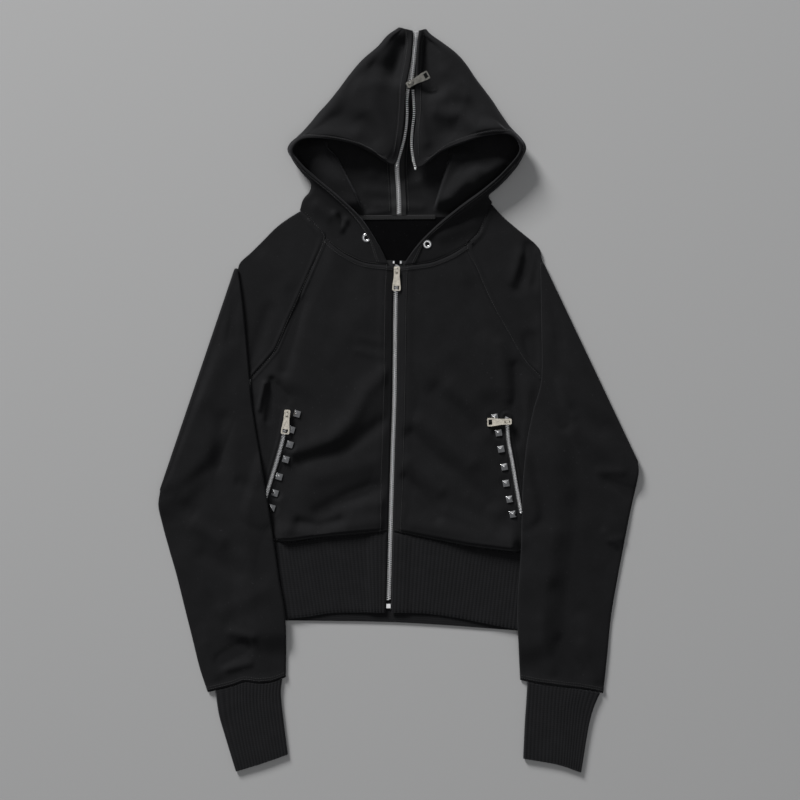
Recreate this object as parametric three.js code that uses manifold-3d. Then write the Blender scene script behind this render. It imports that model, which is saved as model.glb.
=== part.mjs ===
// Zip up hoodie in fleece, laid flat on its back, its lower sleeves folded forward over the front.
// Millimetres. +Z is up off the surface, +Y points to the hood, +X to the wearer's left sleeve.
// Left and right are the wearer's.
import * as THREE from 'three';
import { mergeVertices } from 'three/addons/utils/BufferGeometryUtils.js';
import Module from 'manifold-3d';

// Driving dimensions
const FLEECE = 1.8;
const RIB = 2.2;
const RIB_RISE = 0.5;
const RIB_PITCH = 5.2;
const SEAM_BACK = 0.2;
const PIECE_GAP = 0.3;
const ON_CLOTH = 0.35;
const LAY = 0.4;
const LAP = 0.8;
const TAPE = 0.8;
const ZIP_LIFT = 2.0;
const ZIP_LIFT_HALF = 17;
const CHAIN_WIDTH = 6;
const CHAIN_HEIGHT = 2;
const EDGE_TO_ZIP = 4.3;
const TAPE_REACH = 14;
const HEM_BAND_LIFT = 0.4;
const HOOD_HEM = 2.6;
const BODY_LOFT = 1.3;
const SLEEVE_PUFF = 1.9;
const OVER_HEM = 2.4;
const OVER_POCKET_ZIP = 3.8;
const CUFF_LOFT = 0.8;
const EDGE_ROUND = { outer: 2.2, inner: 4, innerTip: 2.6 };
const HEM_SEAM_AT_ZIP = -178;
const HEM_BOTTOM_AT_ZIP = -286.5;
const HEM_SEAM_AT_BACK = -199;
const HEM_BOTTOM_AT_BACK = -300;
const STUD_SIDE = 9;
const STUD_HEIGHT = 3.8;
const STUD_RIM = 0.8;
const POCKET_TAPE_HALF = 3.7;
const POCKET_CHAIN_WIDTH = 5;
const POCKET_CHAIN_HEIGHT = 1.6;
const HOOD_TEETH_WIDTH = 3.6;
const NECK_TAPE_WIDTH = 6;
const EYELET_OUTER = 6;
const EYELET_BARREL = 3.2;
const EYELET_BORE = 2.5;
const EYELET_CLEAR = 0.9;
const SLIDER_LENGTH = 12;
const SLIDER_WIDTH = 8.6;
const SLIDER_PLATE = 1.8;
const ARCH_WIDTH = 2.6;
const ARCH_HALF = 3.6;
const ARCH_HEIGHT = 3.7;
const ARCH_WALL = 1.1;
const PIVOT_HEIGHT = 1.3;
const PULL_LENGTH = 27;
const PULL_TOP = 4;
const PULL_FOOT = 5.7;
const PULL_THICK = 1.2;
const PULL_DROOP = THREE.MathUtils.degToRad(3);

// Seam lines and edges, each a short run of [x, y]
const NECK_RIGHT = [[-132.3, 255.2], [-117.5, 241], [-99.9, 218.7], [-85.1, 205.2], [-67.5, 193.7],
  [-44.6, 184.5], [-13.5, 180.9]];
const NECK_LEFT = [[124.2, 264.6], [108, 226], [90.5, 208.5], [75, 198.3], [60, 191], [40, 184.3],
  [4.1, 179.6]];
const BACK_NECK = [[-82.4, 245.7], [0, 246.4], [79.7, 247.1]];
const RAGLAN_FRONT = {
  right: [[-99.9, 218.7], [-124.2, 162], [-148.5, 108], [-166.1, 67.5], [-182.2, 48.6], [-197.8, 31.2]],
  left: [[90.5, 208.5], [105.3, 175.5], [122.9, 135], [144.5, 95.9], [168.8, 54.7], [190.5, 32.4]],
};
const RAGLAN_BACK = {
  right: [[-82.4, 245.7], [-106.7, 191.7], [-133.7, 135], [-160.7, 81], [-180.9, 51.3], [-197.8, 31.2]],
  left: [[79.7, 247.1], [104, 191.7], [128.2, 137.7], [152.6, 89.1], [172.8, 56.7], [190.5, 32.4]],
};
const SIDE = {
  right: [[-197.8, 31.2], [-200.5, 14], [-202, -18.9], [-202.5, -67.5], [-201.2, -121.5], [-193.1, -164.7],
    [-185, -190.4]],
  left: [[190.5, 32.4], [192.5, 10.8], [191, -18.9], [192, -67.5], [194.4, -121.5], [191.7, -168.8],
    [185, -207.9]],
};
const HEM_SEAM = {
  right: [[-185, -190.4], [-145.8, -191.7], [-106.6, -185.6], [-63.5, -182], [-16.2, -178.2]],
  left: [[185, -207.9], [140, -203.4], [95, -197.8], [45, -188.5], [-6.8, -177.5]],
};
const HEM_BOTTOM = {
  right: [[-175.5, -297], [-130, -292.9], [-92, -287.3], [-52.7, -286.2], [-18.9, -286.2]],
  left: [[174.2, -311.9], [128, -303.5], [82, -294.4], [36, -287.8], [-9.5, -286.9]],
};
const ZIP_LINE = [[-2.4, 188], [-4.7, 135], [-5.5, 67.5], [-6.3, 0], [-8.4, -67.5], [-10.4, -135],
  [-11.7, -182.2], [-14.2, -281]];
const SHOULDER = {
  right: [[-132.3, 255.2], [-149.9, 244.4], [-166.1, 232.2], [-182.2, 216], [-198.5, 199.8], [-213.3, 186.3],
    [-221.4, 178.2]],
  left: [[124.2, 264.6], [140.4, 247.1], [159.3, 230.9], [175.5, 217.8], [184.5, 210], [191, 200],
    [194.4, 186.3]],
};
const SLEEVE_FOLD = {
  right: [[-221.4, 178.2], [-322.7, -121.5]],
  left: [[194.4, 186.3], [322.7, -83.7]],
};
const SLEEVE_INNER = {
  right: [[-221.4, 178.2], [-210.6, 128.2], [-202.5, 40.5], [-197.1, -14.9], [-185, -87.8], [-172.8, -162],
    [-162, -236.3], [-152.6, -297], [-152.6, -374]],
  left: [[194.4, 186.3], [191.7, 108], [191.7, 29.7], [180.9, -13.5], [171.5, -60.8], [166.1, -121.5],
    [164, -202.5], [159.3, -283.5], [163.4, -378]],
};
const SLEEVE_OUTER = {
  right: [[-322.7, -121.5], [-324, -143.1], [-318.6, -170.1], [-310.5, -199.8], [-299.7, -237.6],
    [-287.6, -286.2], [-278.1, -324], [-268.7, -361.8], [-257.9, -394.2]],
  left: [[322.7, -83.7], [322.7, -97.2], [318.6, -121.5], [311.9, -151.2], [302.4, -199.8], [294.3, -243],
    [286.2, -290.3], [280.8, -344.3], [275.4, -395.6]],
};
const CUFF_SEAM = {
  right: [[-152.6, -374], [-171.5, -380.7], [-189, -382.1], [-207.9, -380], [-225.5, -386.1],
    [-257.9, -394.2]],
  left: [[163.4, -378], [185, -382.1], [206.6, -384.8], [228.2, -387.5], [248.4, -390.2], [275.4, -395.6]],
};
const CUFF_INNER = {
  right: [[-159.3, -396.9], [-155.2, -436.1], [-149.9, -477.9]],
  left: [[171.5, -407.7], [169.4, -438.8], [167.4, -483.3]],
};
const CUFF_OUTER = {
  right: [[-243, -423.9], [-234.9, -452.3], [-220.1, -500.9]],
  left: [[261.9, -417.2], [255.2, -444.2], [245.7, -502.2]],
};
const CUFF_END = {
  right: [[-149.9, -477.9], [-185, -490.1], [-220.1, -500.9]],
  left: [[167.4, -483.3], [213.3, -491.4], [245.7, -502.2]],
};

// Soft folds in the upper cloth: a ridge or trough from one point to another
const FOLDS = [
  { name: 'right front, pocket to zip', x1: -148, y1: -67, x2: -86, y2: -47, rise: 2.2, width: 20 },
  { name: 'right front, up to the zip', x1: -86, y1: -47, x2: -34, y2: 6, rise: 1.6, width: 20 },
  { name: 'right front, low trough', x1: -143, y1: -168, x2: -47, y2: -123, rise: -1.2, width: 18 },
  { name: 'right underarm ridge', x1: -173, y1: 20, x2: -181, y2: -27, rise: 1.4, width: 9 },
  { name: 'left front, long trough', x1: 11, y1: 27, x2: 127, y2: -117, rise: -1.3, width: 18 },
  { name: 'left front, ridge beside it', x1: 45, y1: 40, x2: 140, y2: -60, rise: 1.4, width: 20 },
  { name: 'left front, low trough', x1: 11, y1: -93, x2: 41, y2: -136, rise: -1.0, width: 14 },
  { name: 'left cap crease', x1: 165, y1: 195, x2: 158, y2: 150, rise: 1.3, width: 9 },
  { name: 'right blouse over hem', x1: -160, y1: -178, x2: -30, y2: -166, rise: 2.2, width: 11 },
  { name: 'left blouse over hem', x1: 20, y1: -168, x2: 160, y2: -190, rise: 2.2, width: 11 },
];
// Folds of the sleeve parts that lie on top
const SLEEVE_FOLDS = [
  { name: 'right forearm', x1: -225, y1: -330, x2: -200, y2: -350, rise: -1.2, width: 14 },
  { name: 'right elbow', x1: -250, y1: -60, x2: -290, y2: -110, rise: 1.2, width: 18 },
  { name: 'left upper trough', x1: 227, y1: 135, x2: 205, y2: 0, rise: -1.2, width: 12 },
  { name: 'left elbow', x1: 240, y1: -40, x2: 300, y2: -80, rise: 1.2, width: 18 },
  { name: 'left forearm', x1: 200, y1: -200, x2: 215, y2: -320, rise: 0.9, width: 20 },
];

// Hood half, from the neck seam to the crown. Each row runs from the centre back on the floor layer,
// over the valley and wall inside, round the side fold, and back over the top layer to its free edge.
const HOOD_ROWS = {
  right: [
    { back: [0, 246.4], valley: [-80, 245.8], fold: [-132.3, 255.2],
      edge: [-13.5, 180.9], foldZ: 2, edgeZ: 5.3, wall: 0 },
    { back: [0, 261.9], valley: [-52.7, 259.2], fold: [-128.2, 270],
      edge: [-27, 207.9], foldZ: 4, edgeZ: 9, wall: 2 },
    { back: [-0.7, 276.8], valley: [-58.1, 276.8], fold: [-119.5, 281],
      edge: [-50, 243], foldZ: 6, edgeZ: 13, wall: 4 },
    { back: [-1.4, 291.6], valley: [-67.5, 295], fold: [-118.5, 293],
      edge: [-79.7, 271.4], foldZ: 8, edgeZ: 18, wall: 7 },
    { back: [-2.7, 307.8], valley: [-78.3, 310], fold: [-131.5, 307.8],
      edge: [-107, 294], foldZ: 10, edgeZ: 21, wall: 8 },
    { back: [-2.7, 322.7], valley: [-87.8, 324], fold: [-143, 324],
      edge: [-127, 311], foldZ: 12, edgeZ: 24, wall: 8 },
    { back: [-2, 337.5], valley: [-90.5, 337.5], fold: [-147.5, 337.5],
      edge: [-142, 332], foldZ: 13, edgeZ: 26, wall: 7 },
    { back: [-0.7, 351], valley: [-87.8, 349], fold: [-140, 349],
      edge: [-128, 348.5], foldZ: 13, edgeZ: 27, wall: 5 },
    { back: [0.7, 364.5], valley: [-79.7, 361], fold: [-128.5, 360.5],
      edge: [-93.2, 349], foldZ: 12.5, edgeZ: 27, wall: 4 },
    { back: [2.7, 379.4], valley: [-71.6, 375], fold: [-117.5, 373],
      edge: [-56.7, 341.6], foldZ: 12, edgeZ: 25, wall: 2 },
    { back: [4.7, 394.2], valley: [-63.5, 389], fold: [-107.5, 385.5],
      edge: [-31.1, 329.4], foldZ: 11, edgeZ: 21, wall: 1 },
    { back: [6.8, 409.1], valley: [-55.4, 404], fold: [-94, 400.5],
      edge: [-6.3, 315.9], foldZ: 10, edgeZ: 17, wall: 0 },
    { back: [9.5, 425.2], valley: [-44.6, 421.2], fold: [-79, 419.5],
      edge: [3.3, 349.7], foldZ: 9, edgeZ: 17, wall: 0 },
    { back: [12.8, 442.8], valley: [-33.8, 438.8], fold: [-64.8, 438.8],
      edge: [7.5, 386.8], foldZ: 8, edgeZ: 17, wall: 0 },
    { back: [16.2, 459], valley: [-23, 456.3], fold: [-48.6, 457.7],
      edge: [9.5, 421.2], foldZ: 7.5, edgeZ: 16, wall: 0 },
    { back: [19.6, 475.2], valley: [-9.5, 473.9], fold: [-28.4, 475.2],
      edge: [15.5, 456.3], foldZ: 7, edgeZ: 14, wall: 0 },
    { back: [22.3, 489], valley: [5.4, 489], fold: [-15.5, 490],
      edge: [17.8, 482], foldZ: 6.5, edgeZ: 12.5, wall: 0 },
    { back: [23, 498], valley: [13, 498], fold: [0, 501],
      edge: [18.6, 496], foldZ: 6, edgeZ: 11.5, wall: 0 },
  ],
  left: [
    { back: [0, 246.4], valley: [79, 247.1], fold: [124.2, 264.6],
      edge: [4.1, 179.6], foldZ: 2, edgeZ: 5.3, wall: 0 },
    { back: [0, 261.9], valley: [51.3, 260.6], fold: [121, 271],
      edge: [20.2, 202.5], foldZ: 4, edgeZ: 9, wall: 2 },
    { back: [-0.7, 276.8], valley: [56.7, 275.4], fold: [121, 277],
      edge: [44.6, 228.2], foldZ: 6, edgeZ: 13, wall: 4 },
    { back: [-1.4, 291.6], valley: [64.8, 293], fold: [132, 286],
      edge: [77, 255.2], foldZ: 8, edgeZ: 18, wall: 7 },
    { back: [-2.7, 307.8], valley: [74.2, 309], fold: [147.2, 301.1],
      edge: [112, 281], foldZ: 10, edgeZ: 21, wall: 8 },
    { back: [-2.7, 322.7], valley: [83.7, 323], fold: [161, 318.5],
      edge: [140, 306], foldZ: 12, edgeZ: 24, wall: 8 },
    { back: [-2, 337.5], valley: [90.5, 337], fold: [168.8, 338],
      edge: [161, 334], foldZ: 13, edgeZ: 26, wall: 7 },
    { back: [-0.7, 351], valley: [91.8, 351], fold: [160, 354],
      edge: [149, 354], foldZ: 13, edgeZ: 27, wall: 5 },
    { back: [0.7, 364.5], valley: [87.8, 364.5], fold: [147.2, 368.6],
      edge: [118.8, 353.7], foldZ: 12.5, edgeZ: 27, wall: 4 },
    { back: [2.7, 379.4], valley: [82.4, 379], fold: [135, 386.1],
      edge: [87.8, 344.9], foldZ: 12, edgeZ: 25, wall: 2 },
    { back: [4.7, 394.2], valley: [77, 394.2], fold: [125.6, 401],
      edge: [55.4, 332.1], foldZ: 11, edgeZ: 21, wall: 1 },
    { back: [6.8, 409.1], valley: [71.6, 409.1], fold: [114.8, 415.8],
      edge: [25.6, 311.9], foldZ: 10, edgeZ: 17, wall: 0 },
    { back: [9.5, 425.2], valley: [64.8, 425.2], fold: [102.6, 432],
      edge: [20.4, 344.2], foldZ: 9, edgeZ: 17, wall: 0 },
    { back: [12.8, 442.8], valley: [56.7, 442.8], fold: [90.5, 450.5],
      edge: [23.5, 382.7], foldZ: 8, edgeZ: 17, wall: 0 },
    { back: [16.2, 459], valley: [47.2, 459], fold: [77, 466],
      edge: [22.3, 418], foldZ: 7.5, edgeZ: 16, wall: 0 },
    { back: [19.6, 475.2], valley: [36.5, 476.6], fold: [59, 480],
      edge: [24.1, 455.6], foldZ: 7, edgeZ: 14, wall: 0 },
    { back: [22.3, 489], valley: [33, 490], fold: [43, 491.4],
      edge: [26, 481.6], foldZ: 6.5, edgeZ: 12.5, wall: 0 },
    { back: [23, 498], valley: [30, 498], fold: [36, 499],
      edge: [27, 496], foldZ: 6, edgeZ: 11.5, wall: 0 },
  ],
};
const HOOD_TOP_SHARES = [0.14, 0.32, 0.48, 0.65, 0.83, 1];
const HOOD_ZIP_FIRST_TOP_ROW = 11;

// Hood zip on the top layer, from the crown down to its slider, and the two parted sides below it
const HOOD_ZIP_TOP = [[22.8, 496, 11.5], [22, 482, 12.5], [19.8, 456, 14], [17.6, 437, 15.1],
  [15.9, 421, 16]];
const HOOD_ZIP_OPEN = {
  right: [[12.6, 416, 16.2], [10.9, 400, 16.6], [11.3, 386.8, 17], [10.2, 368.6, 17], [7.1, 349.7, 17],
    [2.5, 332.8, 17], [-2.5, 315.9, 17]],
  left: [[18.6, 415.8, 16.2], [20.1, 391.5, 16.9], [19.7, 380, 17], [17.8, 364.5, 17], [16.6, 344.2, 17],
    [18.4, 326, 17], [21.8, 311.9, 17]],
};
const POCKET_ZIP = {
  right: [[-149.9, -18], [-156.6, -54], [-166.7, -89.1], [-176.9, -121.5], [-185, -149.9]],
  left: [[145.1, -23], [147.2, -54], [152.6, -83.7], [158.6, -118.8], [164.4, -151.2]],
};
const STUDS = {
  right: [[-137.3, -18.5], [-144.8, -39.8], [-146.9, -59.8], [-152.4, -79.8], [-161.6, -103.1],
    [-167.1, -125.3], [-171.5, -145.3]],
  left: [[128.9, -23.2], [134.1, -44], [137.4, -66], [141.9, -90], [144.3, -112.2], [148.9, -133.5],
    [153.4, -153.8]],
};
const EYELETS = { right: [-44, 218.3], left: [38, 209.7] };
const SIDES = ['right', 'left'];

// Materials
const fleece = new THREE.MeshStandardMaterial({ color: 0x1b1b1d, roughness: 0.95, metalness: 0 });
const rib = new THREE.MeshStandardMaterial({ color: 0x171719, roughness: 0.95, metalness: 0 });
const tapeCloth = new THREE.MeshStandardMaterial({ color: 0x121214, roughness: 0.85, metalness: 0 });
const nickel = new THREE.MeshStandardMaterial({ color: 0xb9bbbe, roughness: 0.25, metalness: 1 });

const wasm = await Module();
wasm.setup();
const garment = new THREE.Group();

function addPiece(name, geometry, material) {
  const mesh = new THREE.Mesh(geometry, material);
  mesh.name = name;
  garment.add(mesh);
  return mesh;
}

function vector(x, y, z) {
  return new THREE.Vector3(x, y, z);
}

function evenly(count) {
  return Array.from({ length: count + 1 }, (_, i) => i / count);
}

function smooth(value) {
  return THREE.MathUtils.smoothstep(value, 0, 1);
}

function between(a, b, share) {
  return a.map((value, k) => THREE.MathUtils.lerp(value, b[k], share));
}

// Point at share t of a run of points, each stretch taking an equal share
function along(line, t) {
  const place = THREE.MathUtils.clamp(t, 0, 1) * (line.length - 1);
  const i = Math.min(Math.floor(place), line.length - 2);
  return between(line[i], line[i + 1], place - i);
}

// Point of the panel bounded by start and end (run across by t) and near and far (run along by s)
function onPatch({ start, end, near, far }, s, t) {
  const [a, b, c, d] = [along(start, t), along(end, t), along(near, s), along(far, s)];
  const corners = [start[0], start.at(-1), end[0], end.at(-1)];
  return [0, 1].map((k) => {
    const ruled = (1 - s) * a[k] + s * b[k] + (1 - t) * c[k] + t * d[k];
    const first = (1 - t) * corners[0][k] + t * corners[1][k];
    const last = (1 - t) * corners[2][k] + t * corners[3][k];
    return ruled - (1 - s) * first - s * last;
  });
}

function distanceToSegment(x, y, [x1, y1], [x2, y2]) {
  const [dx, dy] = [x2 - x1, y2 - y1];
  const share = THREE.MathUtils.clamp(((x - x1) * dx + (y - y1) * dy) / (dx * dx + dy * dy), 0, 1);
  return Math.hypot(x - x1 - share * dx, y - y1 - share * dy);
}

function foldRise(folds, x, y) {
  let rise = 0;
  for (const fold of folds) {
    const distance = distanceToSegment(x, y, [fold.x1, fold.y1], [fold.x2, fold.y2]);
    rise += fold.rise * Math.exp(-((distance / fold.width) ** 2));
  }
  return rise;
}

function zipX(y) {
  const i = Math.max(0, Math.min(ZIP_LINE.findIndex((point) => point[1] < y) - 1, ZIP_LINE.length - 2));
  const at = y < ZIP_LINE.at(-1)[1] ? ZIP_LINE.length - 2 : i;
  const [[x1, y1], [x2, y2]] = [ZIP_LINE[at], ZIP_LINE[at + 1]];
  return THREE.MathUtils.lerp(x1, x2, (y - y1) / (y2 - y1));
}

// Underside and top of the upper layer of the laid garment: fronts and sleeve caps
function frontUnder(x, y) {
  const body = BODY_LOFT * smooth((172 - Math.abs(x)) / 50) * smooth((y + 200) / 40);
  const zip = ZIP_LIFT * smooth((ZIP_LIFT_HALF + 20 - Math.abs(x - zipX(y))) / 20) * smooth((240 - y) / 30);
  const rise = Math.max(0, body + foldRise(FOLDS, x, y));
  return FLEECE + LAY + Math.max(rise, zip);
}

function frontTop(x, y) {
  return frontUnder(x, y) + FLEECE;
}

// Closed wall between two grids of points, rimmed on every side or, as a tube, closed across
function wall(outer, inner, closed = false) {
  const [rows, columns] = [outer.length, outer[0].length];
  const positions = [...outer.flat(), ...inner.flat()].flatMap((p) => p.toArray());
  const index = [];
  const out = (i, j) => i * columns + (j % columns);
  const inn = (i, j) => rows * columns + out(i, j);
  const quad = (a, b, c, d) => index.push(a, b, c, a, c, d);
  const last = closed ? columns : columns - 1;
  for (let i = 0; i < rows - 1; i++) {
    for (let j = 0; j < last; j++) {
      quad(out(i, j), out(i, j + 1), out(i + 1, j + 1), out(i + 1, j));
      quad(inn(i, j), inn(i + 1, j), inn(i + 1, j + 1), inn(i, j + 1));
    }
    if (!closed) {
      quad(out(i, 0), out(i + 1, 0), inn(i + 1, 0), inn(i, 0));
      quad(out(i, last), inn(i, last), inn(i + 1, last), out(i + 1, last));
    }
  }
  for (let j = 0; j < last; j++) {
    quad(out(0, j), inn(0, j), inn(0, j + 1), out(0, j + 1));
    quad(out(rows - 1, j), out(rows - 1, j + 1), inn(rows - 1, j + 1), inn(rows - 1, j));
  }
  const geometry = new THREE.BufferGeometry();
  geometry.setAttribute('position', new THREE.Float32BufferAttribute(positions, 3));
  geometry.setIndex(facingOut(positions, index));
  return geometry;
}

function facingOut(positions, index) {
  let volume = 0;
  const at = (i) => vector(positions[3 * i], positions[3 * i + 1], positions[3 * i + 2]);
  for (let i = 0; i < index.length; i += 3) {
    volume += at(index[i]).dot(at(index[i + 1]).cross(at(index[i + 2])));
  }
  return volume > 0 ? index : index.reverse();
}

// Grid of [x, y] whose rim stands back from the seam lines, towards the next row or column
function standBack(grid, edges) {
  const [rows, columns] = [grid.length, grid[0].length];
  const moved = grid.map((row) => row.map((point) => [...point]));
  const pull = (i, j, i2, j2) => {
    const [dx, dy] = [grid[i2][j2][0] - grid[i][j][0], grid[i2][j2][1] - grid[i][j][1]];
    const length = Math.hypot(dx, dy);
    moved[i][j][0] += (dx / length) * SEAM_BACK;
    moved[i][j][1] += (dy / length) * SEAM_BACK;
  };
  for (let j = 0; j < columns; j++) {
    if (edges.start) pull(0, j, 1, j);
    if (edges.end) pull(rows - 1, j, rows - 2, j);
  }
  for (let i = 0; i < rows; i++) {
    if (edges.near) pull(i, 0, i, 1);
    if (edges.far) pull(i, columns - 1, i, columns - 2);
  }
  return moved;
}

// Flat or softly folded panel: plan grid, its underside height and its thickness
function panel(grid, under, thickness) {
  const lower = grid.map((row) => row.map(([x, y]) => vector(x, y, under(x, y))));
  const upper = lower.map((row) => row.map((p) => p.clone().setZ(p.z + thickness)));
  return wall(upper, lower);
}

// Strip along a run of [x, y, z] with its width kept level: a tape or a zip chain
function ribbon(path, width, height, shift = 0) {
  const points = path.map((p) => vector(...p));
  const corners = points.map((point, i) => {
    const ahead = points[Math.min(i + 1, points.length - 1)];
    const behind = points[Math.max(i - 1, 0)];
    const run = ahead.clone().sub(behind).normalize();
    const side = vector(1, 0, 0).addScaledVector(run, -run.x).normalize();
    const up = side.clone().cross(run);
    const spot = (across, rise) =>
      point.clone().addScaledVector(side, shift + across).addScaledVector(up, rise);
    const [w, h] = [width / 2, height / 2];
    return { low: [spot(-w, -h), spot(w, -h)], high: [spot(-w, h), spot(w, h)] };
  });
  return wall(corners.map((c) => c.high), corners.map((c) => c.low));
}

// Back: one panel from the neck to the hem seam, raglan cut at both shoulders, flat on the surface
const backPatch = {
  start: BACK_NECK,
  end: [HEM_SEAM.right[0], [0, HEM_SEAM_AT_BACK], HEM_SEAM.left[0]],
  near: [...RAGLAN_BACK.right, ...SIDE.right.slice(1)],
  far: [...RAGLAN_BACK.left, ...SIDE.left.slice(1)],
};
const backRows = evenly(11);
const backColumns = evenly(4);
const backGrid = backRows.map((s) => backColumns.map((t) => onPatch(backPatch, s, t)));
const backPlan = standBack(backGrid, { start: true, end: true, near: true, far: true });
addPiece('back', panel(backPlan, () => 0, FLEECE), fleece);

// Fronts: two raglan panels that meet at the zip
const neckHalf = { right: NECK_RIGHT, left: NECK_LEFT };
function frontPlan(side) {
  const way = side === 'right' ? -1 : 1;
  const neck = neckHalf[side].slice(2);
  const [[x1, y1], [x2, y2]] = neck.slice(-2);
  const corner = zipX(y2) + way * EDGE_TO_ZIP;
  // the last stretch of the neck seam runs on, straight, to the zip
  const top = y1 + ((corner - x1) * (y2 - y1)) / (x2 - x1);
  const frontEdge = evenly(11).map((s) => {
    const y = THREE.MathUtils.lerp(top, HEM_SEAM_AT_ZIP, s);
    return [zipX(y) + way * EDGE_TO_ZIP, y];
  });
  neck[4] = frontEdge[0];
  const hem = HEM_SEAM[side].slice();
  hem[4] = frontEdge.at(-1);
  const near = [...RAGLAN_FRONT[side], ...SIDE[side].slice(1)];
  const patch = { start: neck, end: hem, near, far: frontEdge };
  return evenly(22).map((s) => evenly(12).map((t) => onPatch(patch, s, t)));
}
for (const side of SIDES) {
  const plan = standBack(frontPlan(side), { start: true, end: true, near: true });
  addPiece(`front_${side}`, panel(plan, frontUnder, FLEECE), fleece);
}

// How far the folded lower sleeve is held up by what it lies on
function laidOutline(side) {
  const fold = SLEEVE_FOLD[side];
  const front = side === 'right' ? -6 : 6;
  return [
    ...SHOULDER[side], fold[1], ...SIDE[side], HEM_BOTTOM[side][0], HEM_BOTTOM[side].at(-1), [front, 180],
    ...neckHalf[side].slice(1, 6).reverse(),
  ];
}

function distanceOutside(outline, x, y) {
  let inside = false;
  let nearest = Infinity;
  outline.forEach((a, i) => {
    const b = outline[(i + 1) % outline.length];
    nearest = Math.min(nearest, distanceToSegment(x, y, a, b));
    const crosses = a[1] > y !== b[1] > y && x < ((b[0] - a[0]) * (y - a[1])) / (b[1] - a[1]) + a[0];
    if (crosses) inside = !inside;
  });
  return inside ? 0 : nearest;
}

function foldedUnder(side, x, y) {
  const cover = 1 - smooth((distanceOutside(laidOutline(side), x, y) - 15) / 34);
  const hem = OVER_HEM * smooth((-160 - y) / 20);
  const pocket = POCKET_ZIP[side];
  const overZip = OVER_POCKET_ZIP * smooth((32 - distanceToSegment(x, y, pocket[2], pocket[4])) / 16);
  return cover * (frontTop(x, y) + LAP + Math.max(hem, overZip));
}

function sleeveLoft(x, y, across) {
  const puff = SLEEVE_PUFF * Math.sin(Math.PI * across);
  return Math.max(0, puff + foldRise(SLEEVE_FOLDS, x, y)) + LAY;
}

// Sleeve: one tube from the raglan seam to the cuff seam. The cap lies on the back layer, the rest is
// folded over along a line from the shoulder to the elbow, and round that line all walls share a centre.
const FOLD_RADIUS = (2 * (FLEECE + LAY + FLEECE) + LAP) / 2;
const WRAP_TURNS = [0.25, 0.5, 0.75].map((turn) => turn * Math.PI);
const SLEEVE_SHARES = [0, 1, 2, 2.5, 3, 3.5, 4, 4.5, 5, 5.5, 6, 6.5, 7].map((share) => share / 7);
const WALLS = {
  backOuter: FOLD_RADIUS,
  backInner: FOLD_RADIUS - FLEECE,
  frontInner: FOLD_RADIUS - FLEECE - LAY,
  frontOuter: LAP / 2,
};

function shiftedFold(side, offset) {
  const [[x1, y1], [x2, y2]] = SLEEVE_FOLD[side];
  const length = Math.hypot(x2 - x1, y2 - y1);
  const way = side === 'right' ? 1 : -1;
  const [nx, ny] = [(way * (y2 - y1)) / length, (-way * (x2 - x1)) / length];
  return [[x1 + nx * offset, y1 + ny * offset], [x2 + nx * offset, y2 + ny * offset]];
}

// The plan points of one layer at a station, its two ends drawn in from the tube's edges
function layerPoints(station, drawIn) {
  const points = SLEEVE_SHARES.map((t) => station(t));
  const ends = [[0, 1], [points.length - 1, points.length - 2]];
  for (const [end, next] of ends) {
    const [dx, dy] = [points[next][0] - points[end][0], points[next][1] - points[end][1]];
    const length = Math.hypot(dx, dy);
    points[end] = [points[end][0] + (dx / length) * drawIn, points[end][1] + (dy / length) * drawIn];
  }
  return points;
}

// One ring of the tube: round the front wall, over one rounded edge, and back along the back wall
function ringAt({ front, back, heights }) {
  const turned = SLEEVE_SHARES.slice().reverse();
  const lift = (points, shares, layer) =>
    points.map(([x, y], i) => vector(x, y, heights(x, y, shares[i])[layer]));
  const half = (frontLayer, backLayer, drawIn, tipIn) => {
    const tip = (t) => {
      const [x, y] = layerPoints(front, tipIn).at(t ? -1 : 0);
      const levels = heights(x, y, t);
      return vector(x, y, (levels[frontLayer] + levels[backLayer]) / 2);
    };
    return [
      tip(0), ...lift(layerPoints(front, drawIn), SLEEVE_SHARES, frontLayer),
      tip(1), ...lift(layerPoints(back, drawIn).reverse(), turned, backLayer),
    ];
  };
  return {
    outer: half('frontOuter', 'backOuter', EDGE_ROUND.outer, 0),
    inner: half('frontInner', 'backInner', EDGE_ROUND.inner, EDGE_ROUND.innerTip),
  };
}

// A ring part-way round the fold line, where all four wall faces turn about one centre
function wrapRing(side, turn) {
  const point = (t, radius, drawIn) => {
    const line = shiftedFold(side, -FOLD_RADIUS + radius * Math.sin(turn));
    const length = Math.hypot(line[1][0] - line[0][0], line[1][1] - line[0][1]);
    const share = THREE.MathUtils.clamp(t, drawIn / length, 1 - drawIn / length);
    return vector(...along(line, share), FOLD_RADIUS - radius * Math.cos(turn));
  };
  const turned = SLEEVE_SHARES.slice().reverse();
  const half = (frontWall, backWall, drawIn, tipIn) => [
    point(0, (frontWall + backWall) / 2, tipIn), ...SLEEVE_SHARES.map((t) => point(t, frontWall, drawIn)),
    point(1, (frontWall + backWall) / 2, tipIn), ...turned.map((t) => point(t, backWall, drawIn)),
  ];
  return {
    outer: half(WALLS.frontOuter, WALLS.backOuter, EDGE_ROUND.outer, 0),
    inner: half(WALLS.frontInner, WALLS.backInner, EDGE_ROUND.inner, EDGE_ROUND.innerTip),
  };
}

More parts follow.
